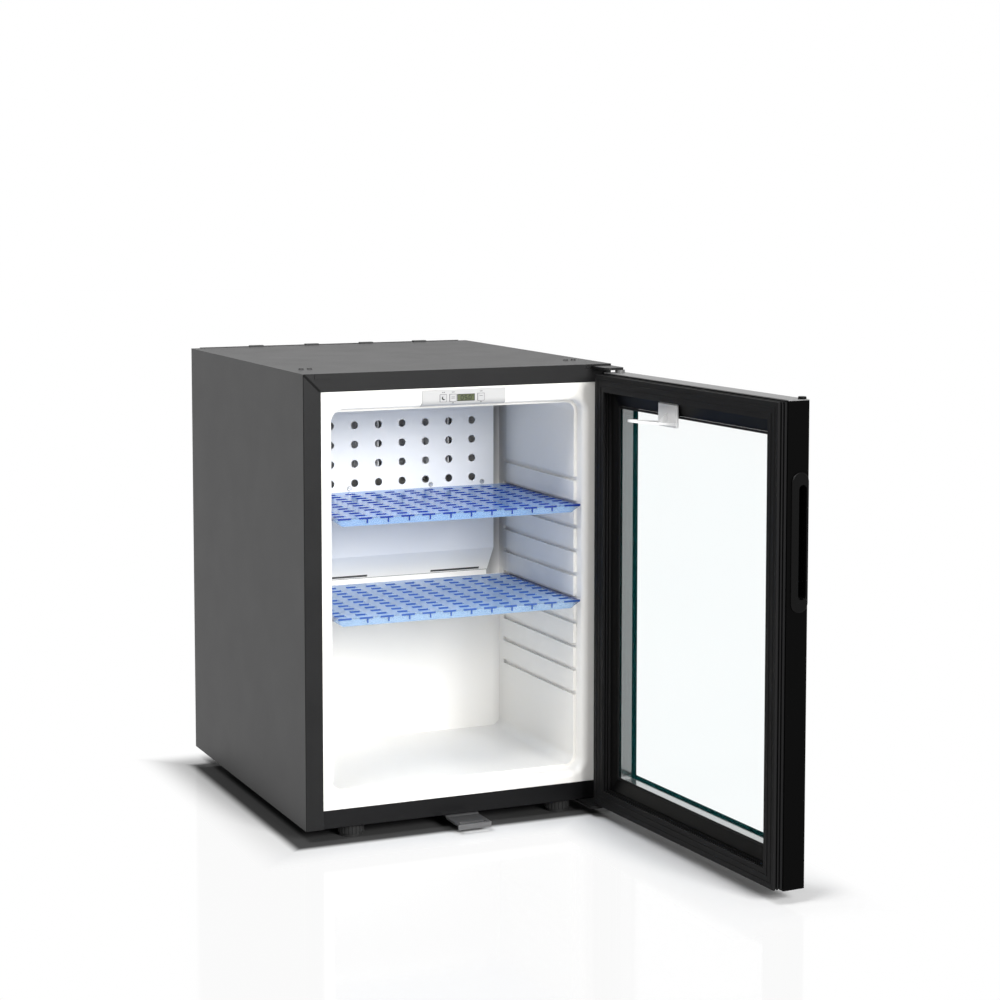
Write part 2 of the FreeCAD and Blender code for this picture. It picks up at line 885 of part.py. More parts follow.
def tang_space(name, side):
    """Room behind the top flange for the hinge tang, or for the plug on the other side."""
    gap = s.hinge_slot_clearance
    return box(name, (side * (tang_left - gap), side * (tang_right + gap)),
               (behind_sheet - s.overrun, behind_sheet + s.hinge_tang_depth + gap),
               (hinge_plate_foot - gap - s.plug_border, roof))


def insulation():
    block = box("foam_block", (inside_left, inside_right), (behind_sheet, bulkhead_front),
                (pan_top, under_roof))
    inserts = [rod("insert_room", s.foot_insert_radius, "z", (x, y, pan_top - s.overrun),
                   s.foot_insert_height + s.foot_stud_length + s.overrun)
               for x, y in foot_places[:2]]
    bolts = [rod("bolt_room", s.bolt_head_radius, "z", (x, y, pan_top - s.overrun),
                 s.overrun + s.bolt_head_height) for x, y in keeper_screw_places + hinge_bolt_places]
    piece(cut("insulation_foam", block, liner_body("liner_outside"), housing_notch("foam_notch"),
              tang_space("tang_room", 1), tang_space("plug_room", -1), *inserts, *bolts,
              *tube_holes("foam_hole")))


insulation()


# Cold baffle: a perforated sheet in front of the evaporator, bent back to the rear wall below.
baffle_front = front + baffle_setback
baffle_back = baffle_front + s.baffle_thickness
standoff_length = cavity_back - baffle_back
baffle_left, baffle_right = s.baffle_left_gap - cavity_half, cavity_half - s.baffle_right_gap
baffle_half = (baffle_right - baffle_left) / 2
hole_middle = (baffle_left + baffle_right) / 2
hole_reach = baffle_half - s.baffle_hole_border
baffle_screw_places = [(hole_middle + side * across, roof - s.baffle_screw_drop)
                       for side in (-1, 1)
                       for across in (baffle_half - s.inner_screw_inset, baffle_half - s.outer_screw_inset)]


def cold_baffle():
    top, bend = roof - s.baffle_top_drop, roof - s.baffle_bend_drop
    foot = roof - s.baffle_foot_drop
    run, drop = cavity_back - baffle_front, bend - foot
    slope = root(run * run + drop * drop)
    body = plate("baffle_sheet", "YZ", [
        (baffle_front, top), (baffle_front, bend), (cavity_back, foot),
        (cavity_back, foot + s.baffle_thickness * slope / run),
        (baffle_back, bend + s.baffle_thickness * (slope - drop) / run), (baffle_back, top),
    ], baffle_left, baffle_right)
    holes = new_body("baffle_holes")
    sketch = new_sketch(holes, "XZ", "hole_outline", -(baffle_back + s.overrun))
    for k in range(int(s.baffle_rows.number)):
        circle(sketch, hole_middle - hole_reach,
               roof - s.baffle_last_row_drop - s.baffle_row_pitch * k, s.baffle_hole_radius)
    first = pad(holes, sketch, s.baffle_thickness + 2 * s.overrun)
    pattern(holes, first, sketch, "H", s.baffle_columns, 2 * hole_reach / (s.baffle_columns - 1))
    screws = [rod("screw_hole", s.screw_shank_radius + s.thread_clearance, "y",
                  (x, baffle_front - s.overrun, z), s.baffle_thickness + 2 * s.overrun)
              for x, z in baffle_screw_places]
    slots = [box("drip_slot", (middle - s.drip_slot_width / 2, middle + s.drip_slot_width / 2),
                 (baffle_front - s.overrun, cavity_back + s.overrun),
                 (foot + s.drip_slot_gap, foot + s.drip_slot_gap + s.drip_slot_height))
             for middle in (hole_middle + s.drip_slot_shift + side * s.drip_slot_spread / 2
                            for side in (-1, 1))]
    piece(cut("cold_baffle", body, holes, *screws, *slots))


def baffle_fixings():
    piece(group("baffle_standoffs", *(
        sleeve("standoff", s.standoff_radius, s.screw_shank_radius + s.thread_clearance, "y",
               (x, baffle_back, z), standoff_length) for x, z in baffle_screw_places)))
    piece(group("baffle_screws", *(
        turned("baffle_screw", "y", (x, baffle_front, z), [
            (nil, -s.screw_head_height), (s.screw_head_radius * 2 / 3, -s.screw_head_height),
            (s.screw_head_radius, nil), (s.screw_shank_radius, nil), (s.screw_shank_radius, s.screw_length),
            (nil, s.screw_length),
        ]) for x, z in baffle_screw_places)))


def evaporator():
    """A flat plate on the rear wall with upright fins towards the baffle."""
    low = evaporator_foot
    width = 2 * (baffle_half - s.evaporator_side_gap)
    start = hole_middle - width / 2
    body = new_body("evaporator_fins")
    sketch = new_sketch(body, "XZ", "plate_outline", -cavity_back)
    outline(sketch, rectangle((start, start + width), (low, low + s.evaporator_height)))
    pad(body, sketch, s.evaporator_plate, "plate")
    sketch = new_sketch(body, "XZ", "fin_outline", -(cavity_back - s.evaporator_plate))
    outline(sketch, rectangle((start, start + s.evaporator_fin), (low, low + s.evaporator_height)))
    fin = pad(body, sketch, s.evaporator_fin_depth, "fin")
    spread = width - s.evaporator_fin
    pattern(body, fin, sketch, "H", s.evaporator_fin_count, spread / (s.evaporator_fin_count - 1))
    return piece(body)


cold_baffle()
baffle_fixings()
evaporator()


# Control housing, let into the liner's top flange and rounded below like the liner's mouth.
housing_front = front - s.housing_proud
housing_back = front + s.housing_depth
housing_foot, housing_top = mouth_top, mouth_top + s.housing_height
wall_back = front + s.housing_wall
button_middle = roof - s.button_drop
board_front = front + s.board_setback
button_places = {"night_button": s.night_button_across, "lower_button": s.lower_button_across,
                 "raise_button": s.raise_button_across}
button_low = button_middle - s.button_height / 2
button_high = button_middle + s.button_height / 2
button_back = wall_back + s.button_flange_thickness
window_foot = button_middle - s.window_height / 2


def control_housing():
    block = plate("housing_block", "YZ", [
        (housing_front, housing_foot), (housing_back, housing_foot), (housing_back, housing_top),
        (housing_front, housing_top),
    ], s.housing_left_edge, s.housing_right_edge)
    fillet(block, s.housing_edge_radius,
           lambda e: runs_along(e, "x") and lies_at(e, y=housing_front, z=housing_foot))
    inside = box("housing_inside", (s.housing_left_edge + s.liner_wall, s.housing_right_edge - s.liner_wall),
                 (wall_back, housing_back + s.overrun),
                 (housing_foot + s.housing_floor, housing_top - s.liner_wall))
    gap = s.button_clearance
    holes = [box("button_hole", (x - s.button_width / 2 - gap, x + s.button_width / 2 + gap),
                 (housing_front - s.overrun, wall_back + s.overrun), (button_low - gap, button_high + gap))
             for x in button_places.values()]
    window = box("window_hole", (s.window_left_edge, s.window_left_edge + s.window_width),
                 (housing_front - s.overrun, wall_back + s.overrun),
                 (window_foot, window_foot + s.window_height))
    piece(cut("control_housing", block, inside, window, *holes))
    piece(group("display_window", box(
        "window_pane", (s.window_left_edge, s.window_left_edge + s.window_width),
        (housing_front + s.window_inset, wall_back), (window_foot, window_foot + s.window_height))))


def control_board():
    """A circuit board on the housing's ledge, with one small switch behind each button."""
    gap = s.housing_clearance
    board = box("board", (s.housing_left_edge + s.liner_wall, s.housing_right_edge - s.liner_wall),
                (board_front, board_front + s.board_thickness),
                (housing_foot + s.housing_floor, housing_top - s.liner_wall))
    switches = [box("switch", (x - s.switch_side / 2, x + s.switch_side / 2),
                    (button_back + s.button_travel + s.switch_gap, board_front),
                    (button_middle - s.switch_side / 2, button_middle + s.switch_side / 2))
                for x in button_places.values()]
    screen = box("screen", (s.window_left_edge + gap, s.window_left_edge + s.window_width - gap),
                 (wall_back, board_front), (window_foot + gap, window_foot + s.window_height - gap))
    piece(fuse("control_board", board, screen, *switches))


def button(name, x):
    """A push button held behind the wall by a wider flange."""
    key = box(name + "_key", (x - s.button_width / 2, x + s.button_width / 2),
              (housing_front - s.button_proud, button_back), (button_low, button_high))
    half = s.button_width / 2 + s.button_flange_wider
    flange = box(name + "_flange", (x - half, x + half), (wall_back, button_back), (button_low, button_high))
    piece(fuse(name, key, flange))


control_housing()
control_board()
for button_name, button_across in button_places.items():
    button(button_name, button_across)


# Hinges: a plate above and below the door, each with a pin.
hinge_edge = front - s.hinge_plate_reach
bottom_plate_foot = base - s.hinge_plate_thickness


def hinge_plate(name, width, low, high, back):
    side = right - s.hinge_plate_side_gap
    x = (side - width, side)
    body = plate(name, "XY", rectangle(x, (hinge_edge, back)), low, high)
    fillet(body, s.hinge_plate_corner, lambda e: runs_along(e, "z") and lies_at(e, x=x[0], y=hinge_edge))
    fillet(body, s.hinge_inset * 4 / 5,
           lambda e: runs_along(e, "z") and lies_at(e, x=x[1], y=hinge_edge), "pin_corner")
    return body


def hinge_brackets():
    pin_top = hinge_plate_foot
    upper = hinge_plate("upper_plate", s.top_plate_width, hinge_plate_foot, hinge_plate_top, front)
    tang = box("hinge_tang", (tang_left, tang_right), (front, behind_sheet + s.hinge_tang_depth),
               (hinge_plate_foot, hinge_plate_top))
    rise = box("tang_rise", (tang_left, tang_right),
               (behind_sheet + s.overrun / 2, behind_sheet + s.hinge_tang_depth),
               (hinge_plate_top, under_roof))
    pin = rod("upper_pin", s.hinge_pin_radius, "z", (hinge_across, hinge_along, door_top - s.hinge_pin_depth),
              pin_top - door_top + s.hinge_pin_depth)
    holes = [rod("tang_hole", s.bolt_shank_radius + s.thread_clearance, "z",
                 (x, y, hinge_plate_foot - s.overrun), under_roof - hinge_plate_foot + 2 * s.overrun)
             for x, y in top_screw_places]
    piece(cut("top_hinge_bracket", fuse("upper_hinge", upper, tang, rise, pin), *holes))
    lower = hinge_plate("lower_plate", s.bottom_plate_width, bottom_plate_foot, base, front + s.rail_return)
    pin = rod("lower_pin", s.hinge_pin_radius, "z", (hinge_across, hinge_along, base),
              door_foot - base + s.hinge_pin_depth)
    holes = [rod("plate_hole", s.bolt_shank_radius + s.thread_clearance, "z",
                 (x, y, bottom_plate_foot - s.overrun), s.hinge_plate_thickness + 2 * s.overrun)
             for x, y in hinge_bolt_places]
    piece(cut("bottom_hinge_bracket", fuse("lower_hinge", lower, pin), *holes))
    washers = [sleeve("hinge_washer", s.hinge_washer_radius, s.hinge_pin_radius + s.hinge_pin_clearance, "z",
                      (hinge_across, hinge_along, low), high - low)
               for low, high in ((door_top, hinge_plate_foot), (base, door_foot))]
    piece(group("hinge_washers", *washers))


def bolt(name, x, y, seat, tip):
    """A flat-headed screw from its seat to its tip, upwards or downwards."""
    up = 1 if seat < tip else -1
    return turned(name, "z", (x, y, nil), [
        (nil, seat - up * s.bolt_head_height), (s.bolt_head_radius * 3 / 4, seat - up * s.bolt_head_height),
        (s.bolt_head_radius, seat), (s.bolt_shank_radius, seat), (s.bolt_shank_radius, tip), (nil, tip),
    ])


def hinge_fixings():
    top = [bolt("top_screw", side * x, y, roof, hinge_plate_foot)
           for x, y in top_screw_places for side in (-1, 1)]
    bottom = [bolt("bottom_screw", x, y, bottom_plate_foot, pan_top) for x, y in hinge_bolt_places]
    piece(group("hinge_screws", *top, *bottom))
    face = box("plug_face", (-tang_left, -tang_right), (front - s.plug_thickness, front),
               (plug_middle - s.plug_height / 2, plug_middle + s.plug_height / 2))
    tongue = box("plug_tongue", (-(tang_left + s.plug_border), -(tang_right - s.plug_border)),
                 (front, front + s.plug_tongue_depth), (plug_middle - tongue_half, plug_middle + tongue_half))
    piece(fuse("hinge_slot_plug", face, tongue))


hinge_brackets()
hinge_fixings()


def lock_keeper():
    """A joggled strike plate under the cabinet that the lock's cam drops through."""
    plane, low = base, base - s.keeper_drop
    thick, step = s.keeper_thickness, s.keeper_joggle
    edge, back = front - s.keeper_reach, front + s.keeper_back
    body = plate("keeper_plate", "YZ", [
        (back, plane), (front + step, plane), (front - step, low), (edge, low),
        (edge, low - thick - s.keeper_lip), (edge + thick, low - thick - s.keeper_lip),
        (edge + thick, low - thick), (front - step, low - thick), (front + step, plane - thick),
        (back, plane - thick),
    ], -s.keeper_width / 2, s.keeper_width / 2)
    middle = door_face + s.lock_setback
    slot = box("keeper_slot", (-s.keeper_slot_width / 2, s.keeper_slot_width / 2),
               (middle - s.keeper_slot_depth / 2, middle + s.keeper_slot_depth / 2),
               (low - thick - s.overrun, low + s.overrun))
    holes = [rod("keeper_screw_hole", s.bolt_shank_radius + s.thread_clearance, "z",
                 (x, y, plane - thick - s.overrun), thick + 2 * s.overrun) for x, y in keeper_screw_places]
    piece(cut("lock_keeper", body, slot, *holes))
    piece(group("keeper_screws", *(bolt("keeper_screw", x, y, plane - thick, pan_top)
                                   for x, y in keeper_screw_places)))


lock_keeper()


def shelf_slots(name, columns, start_x, start_y, top):
    """A field of slots, stepped along X and Y."""
    body = new_body(name)
    sketch = new_sketch(body, "XY", name + "_outline", top - s.shelf_thickness - s.overrun)
    half_x, half_y = s.shelf_slot_width / 2, s.shelf_slot_depth / 2
    for k in range(int(s.shelf_rows.number)):
        y = start_y + 2 * row_pitch * k
        outline(sketch, rectangle((start_x - half_x, start_x + half_x), (y - half_y, y + half_y)))
    first = pad(body, sketch, s.shelf_thickness + 2 * s.overrun)
    pattern(body, first, sketch, "H", columns, slot_pitch)
    return body


shelf_depth = baffle_setback - s.shelf_setback - s.shelf_back_gap
shelf_half = cavity_half + s.shelf_side_reach
slot_pitch = (2 * (shelf_half - s.shelf_slot_border) - s.shelf_slot_width) / (s.shelf_columns - 1)
row_pitch = (shelf_depth - s.shelf_first_row - s.shelf_last_row) / (2 * s.shelf_rows - 1)


def shelf(name, runner):
    """A slotted plastic shelf with a turned-down front lip, ribbed in front of each gap."""
    foot = runner_height(runner) + s.runner_clearance
    top = foot + s.shelf_thickness
    edge = front + s.shelf_setback
    half = shelf_half
    board = box(name + "_board", (-half, half), (edge, edge + shelf_depth), (foot, top))
    lip_half = shelf_half - s.shelf_lip_inset
    lip = plate(name + "_lip", "XZ", [
        (-lip_half, top), (lip_half, top), (lip_half - s.shelf_lip_drop / 2, top - s.shelf_lip_drop),
        (s.shelf_lip_drop / 2 - lip_half, top - s.shelf_lip_drop),
    ], edge, edge + s.shelf_lip_thickness)
    rib_side = int(s.shelf_columns.number) // 2
    ribs = [box(name + "_rib", (x - s.shelf_rib_width / 2, x + s.shelf_rib_width / 2),
                (edge + s.shelf_lip_thickness, edge + s.shelf_lip_thickness + s.shelf_rib_depth),
                (top - s.shelf_lip_drop * 4 / 5, foot))
            for x in (k * slot_pitch for k in range(-rib_side, rib_side + 1))]
    reach = slot_pitch * (s.shelf_columns - 1) / 2
    even = shelf_slots(name + "_even", s.shelf_columns, -reach, edge + s.shelf_first_row, top)
    odd = shelf_slots(name + "_odd", s.shelf_columns - 1, slot_pitch / 2 - reach,
                      edge + s.shelf_first_row + row_pitch, top)
    piece(cut(name, fuse(name + "_blank", board, lip, *ribs), even, odd))


shelf("upper_shelf", s.runners_below_upper_count)
shelf("lower_shelf", s.runners_below_lower_count)


# Door pieces are built as they lie when the door is shut, then turned open about the pins.
window_half = right - s.window_border
window_low = door_foot + s.window_foot_border
window_high = door_top - s.window_foot_border
glass_half = window_half + s.glass_edge_cover
glass_low, glass_high = window_low - s.glass_edge_cover, window_high + s.glass_edge_cover
gasket_outer = right - s.gasket_inset
gasket_inner = gasket_outer - s.gasket_width
gasket_low, gasket_high = door_foot + s.gasket_inset, door_top - s.gasket_inset
lock_middle = door_foot + s.lock_height
lock_plane = door_face + s.lock_setback
handle_middle = roof - s.handle_centre_drop
finger_foot = door_top - s.finger_plate_drop - s.finger_plate_height


def open_door(item):
    """Turns a finished door piece from shut to open about the hinge pins."""
    angle = s.door_open_angle
    bind(item, "Placement.Base.x", hinge_across - hinge_across * cosine(angle) + hinge_along * sine(angle))
    bind(item, "Placement.Base.y", hinge_along - hinge_across * sine(angle) - hinge_along * cosine(angle))
    item.Placement.Rotation = FreeCAD.Rotation(FreeCAD.Vector(0, 0, 1), angle.number)
    bind(item, "Placement.Rotation.Angle", angle * Size("1deg", 1))
    return piece(item)


def oval(name, x, y, z):
    """An upright slot shape across X with round ends."""
    body = plate(name, "YZ", rectangle(y, z), *sorted(x))
    fillet(body, (y[1] - y[0]) * s.oval_share, lambda e: runs_along(e, "x"))
    return body


def handle_oval(name, x, inset=nil):
    y = (door_face + s.handle_setback + inset, door_face + s.handle_setback + s.handle_width - inset)
    half = s.handle_length / 2 - inset
    return oval(name, x, y, (handle_middle - half, handle_middle + half))


def trim_seat(name):
    """The flat on the trim that carries the finger's plate."""
    plane = glass_front + s.finger_plate_standoff
    return box(name, (s.finger_left_edge, s.finger_left_edge + s.finger_width),
               (plane, door_back + s.overrun), (finger_foot, finger_foot + s.finger_plate_height))


def door_frame():
    slab = plate("door_slab", "XY", rectangle((left, right), (door_face, door_back)),
                 door_foot, door_top - s.strip_thickness)
    fillet(slab, s.slab_edge_radius, lambda e: runs_along(e, "z") and lies_at(e, y=door_face))
    cover = s.front_lip_cover
    gap = s.glass_clearance
    window = box("front_opening", (cover - window_half, window_half - cover),
                 (door_face - s.overrun, door_back), (window_low + cover, window_high - cover))
    glazing = box("glazing_room", (-(glass_half + gap), glass_half + gap), (glass_back, door_back),
                  (glass_low - gap, glass_high + gap))
    trim = box("trim_room", (-gasket_inner, gasket_inner), (glass_front, door_back + s.overrun),
               (door_foot + s.gasket_inset + s.gasket_width, door_top - s.gasket_inset - s.gasket_width))
    cup = handle_oval("handle_room", (left - s.overrun, left + s.handle_depth + s.handle_wall),
                      s.handle_border)
    bores = [rod("hinge_bore", s.hinge_pin_radius + s.hinge_pin_clearance, "z",
                 (side * hinge_across, hinge_along, z),
                 s.hinge_pin_depth + s.hinge_bore_extra + s.overrun)
             for side in (-1, 1)
             for z in (door_foot - s.overrun, door_top - s.hinge_pin_depth - s.hinge_bore_extra)]
    sweep = s.cam_length + s.cam_clearance * 2
    lock_room = box("cam_room", (-s.lock_sleeve_radius, sweep),
                    (lock_plane - s.cam_thickness / 2 - s.cam_clearance,
                     lock_plane + s.cam_thickness / 2 + s.cam_clearance + s.lock_rivet_height),
                    (door_foot - s.overrun, lock_middle + s.cam_width / 2 + s.cam_clearance))
    sleeve_room = rod("sleeve_room", s.lock_sleeve_radius, "y", (nil, door_face - s.overrun, lock_middle),
                      s.lock_sleeve_length + s.overrun)
    hub_room = rod("hub_room", s.lock_core_radius + s.cam_clearance, "y", (nil, door_face, lock_middle),
                   s.lock_setback)
    open_door(cut("door_frame", slab, window, glazing, trim, cup, *bores, lock_room, sleeve_room, hub_room))


def door_trim():
    """The inner glazing bead, which slopes down to the glass."""
    low, high = door_foot + s.gasket_inset + s.gasket_width, door_top - s.gasket_inset - s.gasket_width
    block = box("trim_block", (-gasket_inner, gasket_inner), (glass_front, door_back), (low, high))
    slope = doc.addObject("Part::Wedge", "trim_slope")
    land = s.trim_land
    for name, value in {
        "Ymin": glass_front, "Ymax": door_back,
        "Xmin": -window_half, "Xmax": window_half, "Zmin": window_low, "Zmax": window_high,
        "X2min": land - gasket_inner, "X2max": gasket_inner - land, "Z2min": low + land, "Z2max": high - land,
    }.items():
        bind(slope, name, value)
    open_door(cut("door_trim", block, slope, trim_seat("finger_seat")))


def gasket_ring(name, inset, y):
    return ring(name, (inset - gasket_outer, gasket_outer - inset), y,
                (gasket_low + inset, gasket_high - inset),
                (-(gasket_inner + inset), gasket_inner + inset),
                (gasket_low + s.gasket_width - inset, gasket_high - s.gasket_width + inset))


def door_gasket():
    """Foot, two bellows and magnet bulb of the seal."""
    inset, neck = s.gasket_neck_inset, s.gasket_neck
    first = door_back + s.gasket_base
    second = first + neck
    third = second + neck / 2
    fourth = third + neck
    rings = [
        gasket_ring("gasket_foot", nil, (door_back, first)),
        gasket_ring("gasket_neck", inset, (first, second)),
        gasket_ring("gasket_bellow", nil, (second, third)),
        gasket_ring("gasket_upper_neck", inset, (third, fourth)),
        gasket_ring("gasket_bulb", nil, (fourth, gasket_face)),
    ]
    open_door(fuse("door_gasket", *rings))


def door_glass():
    for name, y in (("inner_glass", (spacer_front, glass_front)), ("outer_glass", (glass_back, spacer_back))):
        open_door(plate(name, "XZ", rectangle((-glass_half, glass_half), (glass_low, glass_high)), *y))
    inset = s.glass_clearance
    outer, inner = glass_half - inset, glass_half - inset - s.spacer_width
    open_door(ring("glass_spacer", (-outer, outer), (spacer_back, spacer_front),
                   (glass_low + inset, glass_high - inset), (-inner, inner),
                   (glass_low + inset + s.spacer_width, glass_high - inset - s.spacer_width)))


def handle_grip():
    """A moulded cup with an oval rim, let into the door's free edge."""
    rim = handle_oval("handle_rim", (left - s.handle_proud, left))
    fillet(rim, s.handle_edge_radius, lambda e: lies_at(e, x=left - s.handle_proud), "rim_edge")
    cup = handle_oval("handle_cup", (left, left + s.handle_depth + s.handle_wall), s.handle_border)
    y = door_face + s.recess_setback
    recess = oval("handle_recess", (left - s.overrun, left + s.handle_depth), (y, y + s.recess_width),
                  (handle_middle - s.recess_length / 2, handle_middle + s.recess_length / 2))
    open_door(cut("handle_grip", fuse("handle_blank", rim, cup), recess))


def door_top_pieces():
    inset = s.strip_inset
    strip = box("strip_blank", (left + inset, right - inset), (door_face + inset, door_back - inset),
                (door_top - s.strip_thickness, door_top))
    holes = [rod("strip_hole", s.hinge_pin_radius + s.glass_clearance, "z",
                 (side * hinge_across, hinge_along, door_top - s.overrun), 2 * s.overrun) for side in (-1, 1)]
    open_door(cut("door_top_strip", strip, *holes))
    stem = s.hinge_pin_radius
    cap = turned("door_pivot_cap", "z", (-hinge_across, hinge_along, door_top), [
        (nil, -s.cap_stem), (stem, -s.cap_stem), (stem, nil), (s.cap_radius, nil),
        (s.cap_radius, s.cap_height), (nil, s.cap_height),
    ])
    fillet(cap, s.cap_edge_radius, lambda e: lies_at(e, z=door_top + s.cap_height))
    open_door(cap)


def switch_finger():
    """A plate on the trim with a tapered blade that reaches into the cabinet."""
    x = (s.finger_left_edge, s.finger_left_edge + s.finger_width)
    low, high = finger_foot, finger_foot + s.finger_plate_height
    seat = glass_front + s.finger_plate_standoff
    face = seat + s.finger_plate_thickness
    tip = face + s.finger_reach
    back_plate = plate("finger_plate", "XZ", rectangle(x, (low, high)), seat, face)
    fillet(back_plate, s.finger_plate_thickness * 3 / 4, lambda e: runs_along(e, "y"))
    side = plate("finger_side", "YZ", [
        (face, low + s.finger_side_inset), (tip, low + s.finger_side_inset + s.finger_rise),
        (tip, low + s.finger_side_inset + s.finger_rise + s.finger_thickness),
        (face, low + s.finger_side_inset + s.finger_thickness),
    ], *x)
    middle = (x[0] + x[1]) / 2
    inset, half_tip = s.finger_side_inset, s.finger_tip_width / 2
    plan = plate("finger_plan", "XY", [
        (x[0] + inset, face), (x[1] - inset, face), (middle + half_tip, tip), (middle - half_tip, tip),
    ], low, high)
    blade = doc.addObject("Part::MultiCommon", "finger_blade")
    blade.Shapes = [side, plan]
    blade.Refine = True
    rise = low + s.finger_side_inset + s.finger_thickness
    gusset = plate("finger_gusset", "YZ", [
        (face, rise), (face + s.gusset_size, rise), (face, rise + s.gusset_size),
    ], middle - s.gusset_thickness / 2, middle + s.gusset_thickness / 2)
    open_door(fuse("switch_finger", back_plate, blade, gusset))


def door_lock():
    """A cam lock in the bottom of the door: sleeve, turning core and cam."""
    cam_front = lock_plane - s.cam_thickness / 2
    cam_back = lock_plane + s.cam_thickness / 2
    bore = s.lock_core_radius + s.lock_core_clearance
    start, length = (nil, door_face - s.lock_flange_thickness, lock_middle), s.lock_flange_thickness
    flange = rod("lock_flange", s.lock_flange_radius, "y", start, length)
    barrel = rod("lock_barrel", s.lock_sleeve_radius, "y", (nil, door_face, lock_middle),
                 s.lock_sleeve_length)
    hole = rod("lock_bore", bore, "y", (nil, door_face - s.overrun, lock_middle), s.lock_setback + s.overrun)
    open_door(cut("lock_housing", fuse("lock_sleeve", flange, barrel), hole))
    core = turned("lock_core", "y", (nil, nil, lock_middle), [
        (nil, door_face - s.lock_flange_thickness), (s.lock_core_radius, door_face - s.lock_flange_thickness),
        (s.lock_core_radius, cam_front), (s.lock_hub_radius, cam_front), (s.lock_hub_radius, cam_back),
        (s.lock_rivet_radius, cam_back), (s.lock_rivet_radius, cam_back + s.lock_rivet_height),
        (nil, cam_back + s.lock_rivet_height),
    ])
    key = box("keyway", (-s.keyway_width / 2, s.keyway_width / 2),
              (door_face - s.lock_flange_thickness - s.overrun,
               door_face - s.lock_flange_thickness + s.keyway_depth),
              (lock_middle - s.keyway_length / 2, lock_middle + s.keyway_length / 2))
    open_door(cut("lock_plug", core, key))
    half = s.cam_width / 2
    cam = plate("cam_blank", "XZ", rectangle((-half, s.cam_length), (lock_middle - half, lock_middle + half)),
                cam_front, cam_back)
    fillet(cam, s.cam_width * s.oval_share, lambda e: runs_along(e, "y") and lies_at(e, x=-half))
    hub = rod("cam_hole", s.lock_hub_radius, "y", (nil, cam_front - s.overrun, lock_middle), 2 * s.overrun)
    open_door(cut("lock_cam", cam, hub))


door_frame()
door_trim()
door_gasket()
door_glass()
handle_grip()
door_top_pieces()
switch_finger()
door_lock()


# Cooling unit in the open bay: boiler, condenser, absorber coil and vessel, and their pipes.
unit_along = bay_front + s.unit_setback
boiler_across = inside_left + s.boiler_side_gap + s.boiler_radius
vessel_left = boiler_across + s.boiler_radius + s.vessel_boiler_gap
coil_left = vessel_left + s.coil_inset
box_left = inside_right - s.box_side_gap - s.box_width
vessel_length = box_left - s.vessel_box_gap - vessel_left
boiler_foot = pan_top + s.boiler_foot_height
boiler_top = boiler_foot + s.boiler_height
vessel_height = pan_top + s.vessel_centre_height
coil_right = coil_left + s.coil_width
coil_foot = base + s.coil_first_height
return_height, supply_height = (z for x, z in tube_places)
# The bends of the coil are a trifle smaller than half its pitch, so a short straight stays between them.
coil_bend = s.coil_bend_radius - s.glass_clearance


def on_rim(radius):
    """A test for the outer rims of a turned piece."""
    return lambda e: isinstance(e.Curve, Part.Circle) and e.Curve.Radius > radius.number - NEAR


def absorber_vessel():
    body = turned("absorber_vessel", "x", (vessel_left, unit_along, vessel_height), [
        (nil, nil), (s.vessel_radius, nil), (s.vessel_radius, vessel_length), (nil, vessel_length),
    ])
    fillet(body, s.vessel_rounding, on_rim(s.vessel_radius))
    return piece(body)


def boiler_casing():
    body = turned("boiler_casing", "z", (boiler_across, unit_along, boiler_foot), [
        (nil, nil), (s.boiler_radius, nil), (s.boiler_radius, s.boiler_height), (nil, s.boiler_height),
    ])
    fillet(body, s.boiler_rounding, on_rim(s.boiler_radius))
    return piece(body)


def absorber_coil(body):
    """A serpentine that climbs from the vessel in level passes."""
    start = coil_left + s.coil_bend_radius
    points = [(start, unit_along, vessel_height), (start, unit_along, coil_foot)]
    for k in range(int(s.coil_passes.number)):
        height = coil_foot + 2 * s.coil_bend_radius * k
        turn = coil_left if k % 2 else coil_right
        points.append((turn, unit_along, height))
        points.append((turn, unit_along, height + 2 * s.coil_bend_radius))
    piece(cut("absorber_coil", pipe("coil_tube", points, s.coil_tube_radius, coil_bend), body))
    return points[-1]


def condenser(body):
    """A finned tube from the boiler's riser to the bulkhead."""
    start = boiler_across
    tube = pipe("condenser_tube", [
        (start, unit_along, boiler_top - s.boiler_rounding), (start, unit_along, supply_height),
        (tube_across, unit_along, supply_height), (tube_across, bay_front + s.condenser_exit, supply_height),
    ], s.coil_tube_radius, s.coil_bend_radius)
    first_fin = start + s.coil_bend_radius * 3 / 2
    fin_pitch = (tube_across - s.fin_end_gap - first_fin) / (s.fin_count - 1)
    fins = new_body("condenser_fins")
    sketch = new_sketch(fins, "YZ", "fin_outline", first_fin)
    outline(sketch, rectangle((unit_along - s.fin_width / 2, unit_along + s.fin_width / 2),
                              (supply_height - s.fin_height / 2, supply_height + s.fin_height / 2)))
    pattern(fins, pad(fins, sketch, s.fin_thickness), sketch, "N", s.fin_count, fin_pitch)
    piece(cut("condenser", fuse("condenser_shape", tube, fins), body))


def evaporator_tubes(coil_end):
    """Supply from the condenser and return to the top of the absorber coil."""
    supply = rod("supply_tube", s.evaporator_tube_radius, "y", (tube_across, cavity_back, supply_height),
                 bay_front + s.condenser_exit - cavity_back)
    lift = coil_end[2] + s.coil_bend_radius
    back = pipe("return_tube", [
        (tube_across, cavity_back, return_height), (tube_across, unit_along, return_height),
        (tube_across, unit_along, lift), (coil_end[0], unit_along, lift), coil_end,
    ], s.evaporator_tube_radius, s.liquid_bend_radius)
    piece(group("evaporator_tubes", supply, back))


